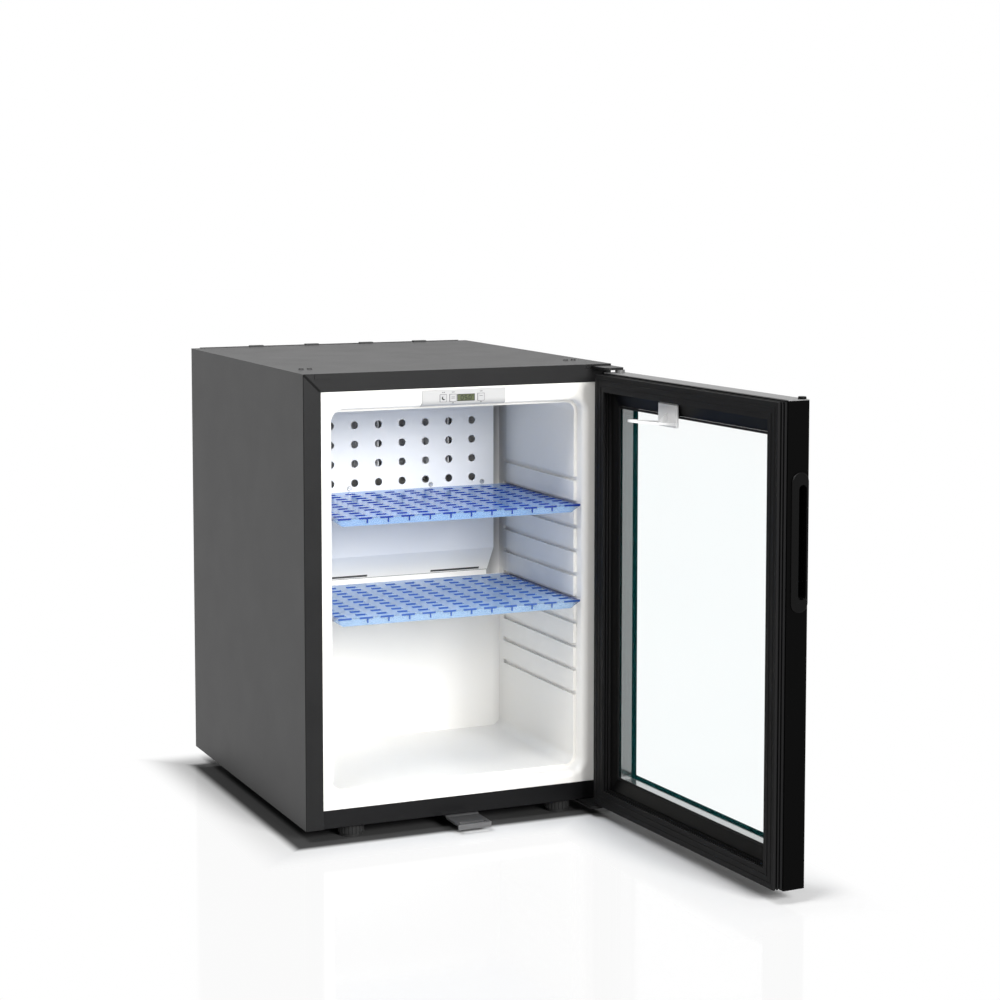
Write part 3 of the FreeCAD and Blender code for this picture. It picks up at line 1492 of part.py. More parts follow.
def liquid_pipes(body):
    """The weak liquid's way from the vessel to the foot of the boiler."""
    drop = vessel_left + s.vessel_rounding + s.liquid_tube_radius
    low = pan_top + s.liquid_bend_radius + s.liquid_tube_radius
    tube = pipe("liquid_tube", [
        (drop, unit_along, vessel_height), (drop, unit_along, low), (boiler_across, unit_along, low),
        (boiler_across, unit_along, boiler_foot),
    ], s.liquid_tube_radius, s.liquid_bend_radius)
    piece(cut("liquid_pipes", tube, body))


def unit_brackets(body, casing):
    """Two saddles for the vessel, a shelf for the boiler and two arms for the coil."""
    middle = vessel_left + vessel_length / 2
    reach = vessel_length / 2 - s.saddle_inset
    half, thick = s.saddle_width / 2, s.saddle_thickness
    saddles = [box("saddle", (middle + side * reach - thick / 2, middle + side * reach + thick / 2),
                   (unit_along - half, unit_along + half), (pan_top, vessel_height)) for side in (-1, 1)]
    half = s.saddle_width / 2
    shelf_plate = box("boiler_shelf", (boiler_across - half, boiler_across + half),
                      (bay_front, unit_along + half), (boiler_foot - s.arm_thickness, boiler_foot))
    hole = rod("shelf_hole", s.liquid_tube_radius + s.tube_hole_clearance, "z",
               (boiler_across, unit_along, boiler_foot - s.overrun), 2 * s.overrun)
    strap = box("boiler_strap", (boiler_across - s.arm_width / 2, boiler_across + s.arm_width / 2),
                (bay_front, unit_along), (boiler_top - s.saddle_width, boiler_top - s.saddle_width + thick))
    coil_middle = (coil_left + coil_right) / 2
    arms = [box("coil_arm", (coil_middle - s.arm_width / 2, coil_middle + s.arm_width / 2),
                (bay_front, unit_along + s.arm_overhang), (height - s.arm_thickness, height))
            for height in (coil_foot + 2 * s.coil_bend_radius * k - s.coil_tube_radius for k in (1, 3))]
    piece(group("unit_brackets", *(cut("vessel_saddle", saddle, body) for saddle in saddles),
                cut("boiler_seat", shelf_plate, hole), cut("boiler_arm", strap, casing), *arms))


def electrical_box():
    y = bay_front + s.box_setback
    housing = plate("electrical_box", "XY",
                    rectangle((box_left, box_left + s.box_width), (y, y + s.box_depth)),
                    pan_top, pan_top + s.box_height)
    fillet(housing, s.box_edge_radius, lambda e: runs_along(e, "z"))
    piece(housing)
    height = pan_top + s.box_height / 3
    piece(turned("cord_gland", "y", (box_left + s.box_width / 2, y + s.box_depth, height), [
        (nil, nil), (s.gland_radius, nil), (s.gland_radius, s.gland_nut_length),
        (s.gland_radius * 4 / 5, s.gland_nut_length), (s.gland_tip_radius, s.gland_length),
        (nil, s.gland_length),
    ]))


vessel_body = absorber_vessel()
casing_body = boiler_casing()
evaporator_tubes(absorber_coil(vessel_body))
condenser(casing_body)
liquid_pipes(vessel_body)
unit_brackets(vessel_body, casing_body)
electrical_box()


# Check every object and every finished piece, then write one file for each piece.
doc.recompute()
faults = [item.Name for item in doc.Objects if "Invalid" in item.State or "Error" in item.State]
for item in NODES:
    if item.Shape.isNull() or not item.Shape.isValid() or not item.Shape.Solids:
        faults.append(item.Label)
if faults:
    raise RuntimeError("these objects failed: " + ", ".join(faults))
os.makedirs("parts", exist_ok=True)
for item in NODES:
    item.Shape.exportStep(os.path.join("parts", item.Label + ".step"))
print(len(NODES), "pieces written")
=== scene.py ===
import json
import math

import bpy
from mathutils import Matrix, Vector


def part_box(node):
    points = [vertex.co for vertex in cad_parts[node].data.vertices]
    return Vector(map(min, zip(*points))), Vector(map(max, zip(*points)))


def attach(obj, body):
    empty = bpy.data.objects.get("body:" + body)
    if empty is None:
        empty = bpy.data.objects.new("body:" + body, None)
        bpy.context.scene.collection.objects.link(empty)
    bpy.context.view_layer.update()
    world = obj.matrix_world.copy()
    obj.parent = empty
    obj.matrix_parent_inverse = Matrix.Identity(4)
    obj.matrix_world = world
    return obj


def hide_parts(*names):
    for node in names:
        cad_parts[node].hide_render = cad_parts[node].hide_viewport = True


# A minibar with its glass door standing open: black sheet-steel cabinet, white moulded liner,
# two blue plastic shelves and a silent cooling unit on the back.
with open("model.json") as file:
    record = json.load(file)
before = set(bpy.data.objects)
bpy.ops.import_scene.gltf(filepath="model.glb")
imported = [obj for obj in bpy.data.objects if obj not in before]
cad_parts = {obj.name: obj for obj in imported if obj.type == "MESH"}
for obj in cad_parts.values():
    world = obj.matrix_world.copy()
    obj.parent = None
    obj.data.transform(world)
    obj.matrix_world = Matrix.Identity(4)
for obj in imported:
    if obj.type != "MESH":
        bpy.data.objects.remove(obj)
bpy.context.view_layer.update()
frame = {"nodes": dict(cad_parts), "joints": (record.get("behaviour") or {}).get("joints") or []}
bpy.ops.object.select_all(action="DESELECT")


# The studio: a long lens from the left front, a white floor that runs into a white background,
# a wide soft lamp in front, one overhead and an even white surround.
bpy.ops.object.camera_add(
    location=(-1.0802, -2.7828, 0.7856),
    rotation=(math.radians(85.07), 0, math.radians(-23.89)),
)
camera = bpy.context.object
camera.name = "camera"
camera.data.lens = 83.3
camera.data.shift_y = -0.12
bpy.context.scene.camera = camera
bpy.context.scene.view_settings.view_transform = "Standard"


class Wire:
    """A shader socket that takes plain arithmetic: each sum adds its own Math node."""

    def __init__(self, socket):
        self.socket = socket

    def worked(self, operation, first, second=0.0):
        tree = self.socket.id_data
        step = tree.nodes.new("ShaderNodeMath")
        step.operation = operation
        for place, value in zip(step.inputs, (first, second)):
            if isinstance(value, Wire):
                tree.links.new(value.socket, place)
            else:
                place.default_value = value
        return Wire(step.outputs[0])

    def __add__(self, other):
        return self.worked("ADD", self, other)

    def __radd__(self, other):
        return self.worked("ADD", other, self)

    def __sub__(self, other):
        return self.worked("SUBTRACT", self, other)

    def __rsub__(self, other):
        return self.worked("SUBTRACT", other, self)

    def __mul__(self, other):
        return self.worked("MULTIPLY", self, other)

    def __rmul__(self, other):
        return self.worked("MULTIPLY", other, self)

    def __lt__(self, other):
        return self.worked("LESS_THAN", self, other)

    def __gt__(self, other):
        return self.worked("GREATER_THAN", self, other)

    def __abs__(self):
        return self.worked("ABSOLUTE", self)

    def or_more(self, other):
        """The greater of the two."""
        return self.worked("MAXIMUM", self, other)

    def or_less(self, other):
        """The lesser of the two."""
        return self.worked("MINIMUM", self, other)


class Finish:
    """A named material: its shader's own sockets, and one method that adds every other node."""

    def __init__(self, name, **sockets):
        self.material = bpy.data.materials.new(name)
        self.material.use_nodes = True
        self.tree = self.material.node_tree
        self.shader = self.tree.nodes["Principled BSDF"]
        for socket, value in sockets.items():
            self.set(socket.replace("_", " "), value)

    def set(self, socket, value):
        place = self.shader.inputs[socket]
        if isinstance(value, Wire):
            self.tree.links.new(value.socket, place)
        elif isinstance(value, tuple):
            place.default_value = (*value, 1)
        else:
            place.default_value = value

    def node(self, kind, settings=None, sockets=None, result=0):
        """Adds a node, sets its settings and then its sockets, and gives the named output."""
        step = self.tree.nodes.new(kind)
        for name, value in (settings or {}).items():
            setattr(step, name, value)
        for name, value in (sockets or {}).items():
            place = step.inputs[name]
            if isinstance(value, Wire):
                self.tree.links.new(value.socket, place)
            elif isinstance(value, tuple) and len(value) == 3 and place.type == "RGBA":
                place.default_value = (*value, 1)
            else:
                place.default_value = value
        return Wire(step.outputs[result])

    def place(self):
        """Where a point lies on the object, in metres, as one vector."""
        return self.node("ShaderNodeTexCoord", result="Object")

    def axis(self, letter):
        """One coordinate of that place."""
        return self.node("ShaderNodeSeparateXYZ", {}, {"Vector": self.place()}, letter)

    def noise(self, scale, detail=2.0, stretch=None):
        """Grain of the given fineness, drawn out where stretch gives a scale for each axis."""
        spot = self.place()
        if stretch:
            spot = self.node("ShaderNodeMapping", {}, {"Vector": spot, "Scale": stretch})
        return self.node("ShaderNodeTexNoise", {}, {"Vector": spot, "Scale": scale, "Detail": detail})

    def cells(self, scale, randomness=1.0):
        """Distance to the middle of the nearest cell, in cells of the given fineness."""
        return self.node("ShaderNodeTexVoronoi", {}, {
            "Vector": self.place(), "Scale": scale, "Randomness": randomness})

    def spread(self, value, low, high, first=0.0, last=1.0, run="LINEAR"):
        """First where the value is low, last where it is high, and a run between the two."""
        return self.node("ShaderNodeMapRange", {"interpolation_type": run}, {
            "Value": value, "From Min": low, "From Max": high, "To Min": first, "To Max": last})

    def mixed(self, share, first, second):
        """The colour that is first where share is 0 and second where it is 1."""
        return self.node("ShaderNodeMix", {"data_type": "RGBA"}, {0: share, 6: first, 7: second}, 2)

    def bumped(self, height, depth, strength=1.0):
        """Raises the surface by the depth where the height is 1."""
        self.set("Normal", self.node("ShaderNodeBump", {}, {
            "Height": height, "Distance": depth, "Strength": strength}))


def shown(rays):
    """1 in what the camera sees straight, mirrored or through glass, and 0 in all other light."""
    straight, mirrored, through = (
        Wire(rays[kind]) for kind in ("Is Camera Ray", "Is Glossy Ray", "Is Transmission Ray"))
    return (straight + mirrored + through) > 0.5


# Near the object the floor keeps its shadow, with a painted shadow darkest along the cabinet's foot,
# and farther off it runs into the background. It has a very faint sheen.
floor_radius = 14
bpy.ops.mesh.primitive_circle_add(
    vertices=96, radius=floor_radius, fill_type="NGON", location=(0, 0, 0))
floor = bpy.context.object
floor.name = "floor"
paper = Finish("white_floor", Roughness=1.0, Specular_IOR_Level=0.0, Emission_Strength=1.0)
ground_x, ground_y = paper.axis("X"), paper.axis("Y")
cabinet_gap = (abs(ground_x) - 0.201).or_more(abs(ground_y + 0.03) - 0.20)
door_gap = (abs(ground_x - 0.2) - 0.03).or_more(abs(ground_y + 0.46) - 0.2)
gap = cabinet_gap.or_less(door_gap)
floor_rays = paper.node("ShaderNodeLightPath").socket.node.outputs
lift = paper.spread(gap, 0.020, 0.085, run="SMOOTHSTEP") * shown(floor_rays)
# Painted shadow: the floor's own colour turns dark in a band along the cabinet's foot.
painted_contact_shadow = paper.spread(cabinet_gap, 0.011, 0.027, run="SMOOTHSTEP")
floor_with_painted_shadow = paper.mixed(painted_contact_shadow, (0.07, 0.07, 0.07), (0.80, 0.80, 0.80))
paper.set("Base Color", paper.mixed(lift, floor_with_painted_shadow, (0, 0, 0)))
paper.set("Emission Color", paper.mixed(lift, (0, 0, 0), (1, 1, 1)))
sheen = paper.node("ShaderNodeBsdfAnisotropic", {}, {"Color": (1, 1, 1), "Roughness": 0.08})
sheen_share = 0.045
coated = paper.node("ShaderNodeMixShader", {}, {
    0: sheen_share, 1: Wire(paper.shader.outputs[0]), 2: sheen})
paper.tree.links.new(coated.socket, paper.tree.nodes["Material Output"].inputs["Surface"])
floor.data.materials.append(paper.material)

world = bpy.data.worlds.new("white_surround")
bpy.context.scene.world = world
world.use_nodes = True
sky = world.node_tree
surround = sky.nodes["Background"]
light_level, shown_level = 0.22, 1.0
brightness = light_level + shown(sky.nodes.new("ShaderNodeLightPath").outputs) * (
    shown_level - light_level)
surround.inputs["Color"].default_value = (1, 1, 1, 1)
sky.links.new(brightness.socket, surround.inputs["Strength"])

for name, spot, aim, breadth, power in (
    ("front_lamp", (0.50, -3.2, 1.38), (0, -0.1, 0.3), 1.3, 122),
    ("side_lamp", (-1.5, -1.0, 3.0), (0, -0.1, 0.2), 1.5, 52),
):
    away = [a - b for a, b in zip(spot, aim)]
    bpy.ops.object.light_add(
        type="AREA", location=spot,
        rotation=(math.atan2(math.hypot(away[0], away[1]), away[2]), 0,
                  math.atan2(away[0], -away[1])),
    )
    lamp = bpy.context.object
    lamp.name = name
    lamp.data.shape = "DISK"
    lamp.data.size = breadth
    lamp.data.energy = power


# Cabinet: 0.8 mm steel sheets with a fine-grained black powder coat, folded at the front and
# mitred at the top corners. The front flanges carry painted shade: their coat is coloured darker.
def dress(finish, *nodes):
    """Gives the named pieces of the frame their finish."""
    for node in nodes:
        for holder in frame["nodes"][node].material_slots:
            holder.material = finish.material


front_face = -0.2292
coat = Finish("black_powder_coat", Specular_IOR_Level=0.12)
grain = coat.noise(1400)
cloud = coat.noise(22)
# Painted shade: the coat's colour is much darker on the front flanges than on the sides and top.
flank = coat.axis("Y") > front_face
coat_painted_front_shade = coat.mixed(flank, (0.0095, 0.0095, 0.0098), (0.057, 0.057, 0.0575))
coat.set("Base Color", coat.mixed(cloud * 0.12, coat_painted_front_shade, (0.05, 0.05, 0.05)))
coat.set("Roughness", 0.38 + cloud * 0.07 + grain * 0.05)
coat.bumped(grain, 0.00012, 0.6)
dress(coat, "left_side_panel", "right_side_panel", "top_panel", "base_pan", "rear_bulkhead")

# Bottom rail: a glossier pressing of the same black steel, folded back under the cabinet. The
# keeper below it shows in its face.
rail_coat = Finish(
    "black_rail_coat", Base_Color=(0.007, 0.007, 0.0075), Roughness=0.2, Specular_IOR_Level=0.12)
rail_coat.bumped(rail_coat.noise(900), 0.00008, 0.5)
dress(rail_coat, "bottom_rail")


# Sealed seams on the two top corners: a bead of black lacquer, drawn along each mitre where the
# flanges of the side and top sheets meet.
def block(size, location, edge=0.0002, segments=1, turn=0.0):
    """A bar of the given size with bevelled edges, turned about its Y axis."""
    bpy.ops.mesh.primitive_cube_add(size=1, location=location, rotation=(0, turn, 0), scale=size)
    bar = bpy.context.object
    bpy.ops.object.transform_apply(location=True, rotation=True, scale=True)
    bpy.ops.object.mode_set(mode="EDIT")
    bpy.ops.mesh.select_all(action="SELECT")
    bpy.ops.mesh.bevel(offset=edge, segments=segments)
    bpy.ops.object.mode_set(mode="OBJECT")
    return bar


def joined(name, parts, finish, body):
    """Joins the parts into one named piece of a body, with one slot that holds its finish."""
    bpy.ops.object.select_all(action="DESELECT")
    for part in parts:
        part.select_set(True)
    bpy.context.view_layer.objects.active = parts[0]
    if len(parts) > 1:
        bpy.ops.object.join()
    piece = bpy.context.object
    piece.name = name
    piece.data.name = name
    piece.data.materials.clear()
    piece.data.materials.append(finish.material)
    bpy.ops.object.select_all(action="DESELECT")
    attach(piece, body)
    return piece


seam_black = Finish(
    "seam_black", Base_Color=(0.002, 0.002, 0.002), Roughness=0.6, Specular_IOR_Level=0.1)
seam_black.bumped(seam_black.noise(600), 0.0001, 0.4)
cabinet_half, cabinet_top, flange_width = 0.201, 0.560, 0.022
seam_width, seam_proud = 0.0028, 0.0002
seam_length = flange_width * math.sqrt(2) - seam_width
for side, name in ((-1, "left_corner_seam"), (1, "right_corner_seam")):
    seam = block(
        (seam_length, 2 * seam_proud, seam_width),
        (side * (cabinet_half - flange_width / 2), front_face - 0.0008,
         cabinet_top - flange_width / 2),
        0.00015, 2, math.radians(-45 * side))
    joined(name, [seam], seam_black, "cabinet")

# Feet: four ribbed black pads on threaded studs, which go up into zinc-plated inserts. The front
# two turn, to level the cabinet.
rubber = Finish(
    "foot_rubber", Base_Color=(0.018, 0.018, 0.018), Roughness=0.7, Specular_IOR_Level=0.3)
rubber.bumped(rubber.noise(900, 3.0), 0.0002, 0.5)
dress(rubber, "front_left_foot", "front_right_foot", "rear_feet")
zinc = Finish("zinc_plate", Metallic=1.0)
spangle = zinc.noise(160, 1.0)
zinc.set("Base Color", zinc.mixed(spangle, (0.46, 0.47, 0.48), (0.60, 0.61, 0.62)))
zinc.set("Roughness", 0.28 + zinc.noise(700) * 0.16)
dress(zinc, "foot_inserts")

# Keeper: a bent steel plate under the base with a slot for the lock's cam, brushed from side to
# side and held by two zinc-plated screws.
keeper_steel = Finish("keeper_steel", Metallic=0.75)
brushed = keeper_steel.noise(260, 3.0, (0.15, 1.0, 1.0))
keeper_steel.set(
    "Base Color", keeper_steel.mixed(brushed, (0.10, 0.10, 0.102), (0.17, 0.17, 0.172)))
keeper_steel.set("Roughness", 0.3 + brushed * 0.2)
dress(keeper_steel, "lock_keeper")
dress(zinc, "keeper_screws")

# Insulation: cream polyurethane foam that fills the space between the sheets and the liner, with
# fine cells at its surface.
foam = Finish("cream_foam", Roughness=0.9)
pores = foam.cells(700.0)
foam.set("Base Color", foam.mixed(pores, (0.62, 0.52, 0.30), (0.74, 0.66, 0.42)))
foam.bumped(pores, 0.0004, 0.8)
dress(foam, "insulation_foam")

# Liner: one white vacuum-formed sheet with a soft gloss, very slightly wavy. Painted shade darkens
# the slot beside the baffle, and the liner behind the baffle's foot is painted nearly black as shade.
baffle_low, baffle_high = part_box("cold_baffle")
slot_near, slot_far, slot_dim, slot_dark = 0.147, 0.163, 0.6, 0.93
baffle_edge, slot_shade_foot, slot_shade_top, foot_shade_top = baffle_high.x - 0.001, 0.28, 0.50, 0.33
liner_white = Finish("liner_white", Specular_IOR_Level=0.35)
across, inwards, height = (liner_white.axis(letter) for letter in "XYZ")
# Painted shade: the slot beside the baffle and the liner behind its foot are coloured dark.
painted_slot_shade = (inwards > baffle_low.y - 0.002) * (height > baffle_low.z - 0.007)
painted_slot_shade = painted_slot_shade * liner_white.spread(across, slot_near, slot_far, 1.0, 0.0)
painted_slot_shade = painted_slot_shade * (across > baffle_edge) * liner_white.spread(
    height, slot_shade_foot, slot_shade_top, slot_dim, slot_dark)
painted_foot_shade = (inwards > 0.006) * (height > baffle_low.z - 0.0006)
painted_foot_shade = painted_foot_shade * (across < baffle_edge + 0.0001) * (height < foot_shade_top)
painted_liner_shade = painted_slot_shade + painted_foot_shade * 0.96
liner_white.set("Base Color", liner_white.mixed(painted_liner_shade, (0.93, 0.913, 0.876), (0.02, 0.02, 0.02)))
liner_white.set("Roughness", 0.26 + liner_white.noise(40) * 0.1)
liner_white.bumped(liner_white.noise(14), 0.0006, 0.3)
dress(liner_white, "inner_liner")

# Evaporator: a bare aluminium plate and fins on the liner's rear wall, their drawn grain
# standing upright.
aluminium = Finish("bare_aluminium", Metallic=0.15)
drawn = aluminium.noise(300, 3.0, (1.0, 1.0, 0.06))
aluminium.set("Base Color", aluminium.mixed(drawn, (0.78, 0.785, 0.79), (0.92, 0.925, 0.93)))
aluminium.set("Roughness", 0.25 + drawn * 0.2)
dress(aluminium, "evaporator_fins")

# Baffle: a perforated white-lacquered sheet in front of the evaporator, on four standoffs and
# held by nickel-plated screws.
lacquer = Finish("white_lacquer", Base_Color=(0.86, 0.858, 0.852), Specular_IOR_Level=0.4)
lacquer.bumped(lacquer.noise(1000), 0.0001, 0.4)
lacquer.set("Roughness", 0.3 + lacquer.noise(60) * 0.12)
dress(lacquer, "cold_baffle")
nickel = Finish("nickel_plate", Metallic=1.0)
nickel.set("Base Color", nickel.mixed(nickel.noise(300), (0.50, 0.50, 0.50), (0.64, 0.64, 0.63)))
nickel.set("Roughness", 0.22 + nickel.noise(900) * 0.12)
dress(nickel, "baffle_screws", "baffle_standoffs")

# Control housing: a grained moulding, a shade greyer than the liner and let into its top flange,
# with three smooth keys that spring back.
panel_grey = Finish(
    "panel_grey", Base_Color=(0.44, 0.44, 0.44), Roughness=0.4, Specular_IOR_Level=0.3)
panel_grey.bumped(panel_grey.noise(1600), 0.00008, 0.5)
dress(panel_grey, "control_housing")
key_white = Finish(
    "key_white", Base_Color=(0.42, 0.42, 0.425), Roughness=0.35, Specular_IOR_Level=0.35)
key_white.bumped(key_white.noise(2000), 0.00004, 0.4)
dress(key_white, "night_button", "lower_button", "raise_button")

# Display: a clear window over an olive screen, set in the housing, and a green circuit board
# behind it.
screen = Finish("display_cover", Roughness=0.12)
screen.set("Base Color", screen.mixed(
    screen.noise(500), (0.082, 0.095, 0.05), (0.105, 0.12, 0.068)))
dress(screen, "display_window")
board_green = Finish("circuit_board", Roughness=0.4)
board_green.set("Base Color", board_green.mixed(
    board_green.noise(400, 4.0) > 0.52, (0.01, 0.12, 0.04), (0.02, 0.20, 0.07)))
dress(board_green, "control_board")

# Figures of the display: dark seven-bar digits 4.6 mm high with a point and a degree sign, and
# the screen's dark border, all printed on the window.
ink = Finish(
    "print_ink", Base_Color=(0.016, 0.018, 0.014), Roughness=0.5, Specular_IOR_Level=0.2)
ink.bumped(ink.noise(3000), 0.00002, 0.3)
key_low, key_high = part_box("night_button")
window_low, window_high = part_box("display_window")
panel_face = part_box("control_housing")[0].y
key_face, window_face = key_low.y, window_low.y
key_middle = (key_low.z + key_high.z) / 2
window_middle = (window_low.x + window_high.x) / 2
print_depth, print_edge = 0.0001, 0.00002


def printed(x, z, wide, high, face):
    """One printed bar, with half its depth proud of the face it is on."""
    return block((wide, print_depth, high), (x, face, z), print_edge)


digit_half, digit_high, stroke, bar_gap = 0.0014, 0.0023, 0.0009, 0.0003
bars_of = {"0": "abcdef", "5": "afgcd"}
bar_places = {
    "a": (0, digit_high, True), "g": (0, 0, True), "d": (0, -digit_high, True),
    "f": (-digit_half, digit_high / 2, False), "b": (digit_half, digit_high / 2, False),
    "e": (-digit_half, -digit_high / 2, False), "c": (digit_half, -digit_high / 2, False),
}
figures = []
for figure, across in (("0", 0.0006), ("5", 0.0056), ("0", 0.0110)):
    for letter in bars_of[figure]:
        x, z, foot_painted_light = bar_places[letter]
        size = (2 * digit_half - bar_gap, stroke) if foot_painted_light else (stroke, digit_high - bar_gap)
        figures.append(printed(across + x, key_middle + z, *size, window_face))
point_x, degree_x, degree_rise, degree_size = 0.0083, 0.0146, 0.0018, 0.001
figures.append(printed(point_x, key_middle - digit_high, stroke, stroke, window_face))
figures.append(
    printed(degree_x, key_middle + degree_rise, degree_size, degree_size, window_face))
border, border_inset, border_long, border_high = 0.0007, 0.0004, 0.0229, 0.0078
for z in (window_low.z + border_inset, window_high.z - border_inset):
    figures.append(printed(window_middle, z, border_long, border, window_face))
for x in (window_low.x + border_inset, window_high.x - border_inset):
    figures.append(printed(x, key_middle, border, border_high, window_face))
joined("display_figures", figures, ink, "cabinet")

# Signs of the keys, all printed: a thin grey frame round each with two short bars above it, a
# crescent on the night key, and a small triangle below and grey lines on the other two.
grey_ink = Finish(
    "grey_print", Base_Color=(0.09, 0.09, 0.093), Roughness=0.5, Specular_IOR_Level=0.2)
grey_ink.bumped(grey_ink.noise(3000), 0.00002, 0.3)
night_x, lower_x, raise_x = -0.024, -0.0114, 0.0252
key_half, frame_line, bars_above = 0.0044, 0.0005, 0.5325
frames = []
for x in (night_x, lower_x, raise_x):
    for side in (-1, 1):
        frames.append(
            printed(x + side * key_half, key_middle, frame_line, 2 * key_half, panel_face))
        frames.append(
            printed(x, key_middle + side * key_half, 2 * key_half, frame_line, panel_face))
    for k, long in enumerate((0.0012, 0.0018)):
        frames.append(printed(x - 0.0008 + 0.002 * k, bars_above, long, 0.0009, panel_face))
joined("key_frames", frames, grey_ink, "cabinet")

moon_radius, bite_radius, bite_across, bite_rise = 0.0024, 0.0021, 0.0012, 0.0008
moon_x = night_x + 0.0003
bpy.ops.mesh.primitive_cylinder_add(
    vertices=32, radius=moon_radius, depth=print_depth,
    location=(moon_x, key_face, key_middle), rotation=(math.pi / 2, 0, 0))
moon = bpy.context.object
bpy.ops.mesh.primitive_cylinder_add(
    vertices=32, radius=bite_radius, depth=10 * print_depth,
    location=(moon_x + bite_across, key_face, key_middle + bite_rise),
    rotation=(math.pi / 2, 0, 0))
bite = bpy.context.object
bpy.context.view_layer.objects.active = moon
cutter = moon.modifiers.new("bite", "BOOLEAN")
cutter.object = bite
cutter.operation = "DIFFERENCE"
bpy.ops.object.modifier_apply(modifier=cutter.name)
bpy.data.objects.remove(bite)
bpy.ops.object.select_all(action="DESELECT")
moon.select_set(True)
bpy.ops.object.transform_apply(location=True, rotation=True, scale=True)
joined("night_sign", [moon], ink, "night_key")

triangle_radius, triangle_drop = 0.0011, 0.0016
for name, x in (("lower_sign", lower_x), ("raise_sign", raise_x)):
    bpy.ops.mesh.primitive_cylinder_add(
        vertices=3, radius=triangle_radius, depth=print_depth,
        location=(x, panel_face, key_middle - key_half - triangle_drop),
        rotation=(math.pi / 2, 0, 0))
    triangle = bpy.context.object
    bpy.ops.object.transform_apply(location=True, rotation=True, scale=True)
    bpy.ops.object.mode_set(mode="EDIT")
    bpy.ops.mesh.select_all(action="SELECT")
    bpy.ops.mesh.bevel(offset=print_edge, segments=1)
    bpy.ops.object.mode_set(mode="OBJECT")
    joined(name, [triangle], ink, "cabinet")
for name, x, key, heights in (
    ("lower_key_lines", lower_x, "lower_key", (0.0012, -0.0004)),
    ("raise_key_lines", raise_x, "raise_key", (0.0014,)),
):
    lines = [printed(x, key_middle + z, key_half, frame_line, key_face) for z in heights]
    joined(name, lines, grey_ink, key)

# Shelves: moulded in clear blue plastic, ten rows of twelve slots and a paler lip turned down
# in front. The plastic is thick and deep blue behind each slot and at the ribs of the lip. Painted
# shade makes the upper shelf, seen from flatter, and its bars a deeper blue, and darkens each
# shelf's side edges, which run in the wall's grooves.
shelf_low, shelf_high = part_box("upper_shelf")
margin = 0.0002
shelf_half, shelf_front, shelf_back = (
    shelf_high.x - margin, shelf_low.y + margin, shelf_high.y - margin)
shelf_thick, lip_drop, lip_narrowing = 0.003, 0.0098, 0.930
slot_pitch, row_pitch, columns, rows, first_cell, web_width = 0.027, 0.020, 12, 10, 0.006, 0.0062
slot_bar, lip_dash, lip_stem, corner_bar = (
    (0.0132, 0.0011, 0.0034), (0.0168, 0.0012, 0.0022), (0.0018, 0.0008, 0.0052),
    (0.0100, 0.0016, 0.0026))
between_shelves = 0.32
shelf_blue = Finish("shelf_blue", Roughness=0.16, Specular_IOR_Level=0.5)
# Painted shade: each shelf's colour turns dark navy along its side edges, which run in the wall's
# grooves.
groove_painted_shade = shelf_blue.spread(abs(shelf_blue.axis("X")), 0.152, 0.157, 0.0, 0.85)
cast = shelf_blue.noise(28, 2.0)
# Painted shade: the upper shelf's blue is deeper than the lower shelf's, for its flatter view.
raised = shelf_blue.axis("Z") > between_shelves
upper_painted_deeper_blue = shelf_blue.mixed(cast, (0.16, 0.36, 0.80), (0.36, 0.58, 0.95))
pale = shelf_blue.mixed(cast, (0.30, 0.52, 0.86), (0.50, 0.70, 0.95))
tint = shelf_blue.mixed(raised, pale, upper_painted_deeper_blue)
tint = shelf_blue.mixed(groove_painted_shade, tint, (0.04, 0.055, 0.25))
lip_share = shelf_blue.axis("Y") < shelf_front + 0.0012
shelf_blue.set("Base Color", shelf_blue.mixed(lip_share, tint, (0.26, 0.42, 0.60)))
shelf_blue.set("Alpha", 0.62 - lip_share * 0.22)
shelf_blue.bumped(shelf_blue.noise(120), 0.0003, 0.25)
bar_blue = Finish("bar_blue", Roughness=0.2, Specular_IOR_Level=0.4)
# Painted shade: the upper shelf's bars are darker than the lower shelf's.
upper_bar_painted_deeper = bar_blue.mixed(bar_blue.noise(160), (0.006, 0.022, 0.19), (0.014, 0.045, 0.30))
bar_blue.set("Base Color", bar_blue.mixed(
    bar_blue.axis("Z") > between_shelves, (0.035, 0.095, 0.34), upper_bar_painted_deeper))


def edges_where(test):
    """Selects the edges of the mesh in edit mode whose two ends both pass the test."""
    bpy.ops.object.mode_set(mode="OBJECT")
    mesh = bpy.context.object.data
    for kind in (mesh.vertices, mesh.edges, mesh.polygons):
        for item in kind:
            item.select = False
    for edge in mesh.edges:
        edge.select = all(test(mesh.vertices[k].co) for k in edge.vertices)
    bpy.ops.object.mode_set(mode="EDIT")
    bpy.ops.mesh.select_mode(type="EDGE")


def stepped(bar, *runs):
    """Repeats a bar along the axes of the runs and makes the copies real."""
    bpy.context.view_layer.objects.active = bar
    for axis, count, pitch in runs:
        array = bar.modifiers.new("steps", "ARRAY")
        array.use_relative_offset = False
        array.use_constant_offset = True
        array.constant_offset_displace = [pitch if k == axis else 0 for k in range(3)]
        array.count = count
        bpy.ops.object.modifier_apply(modifier=array.name)
    return bar


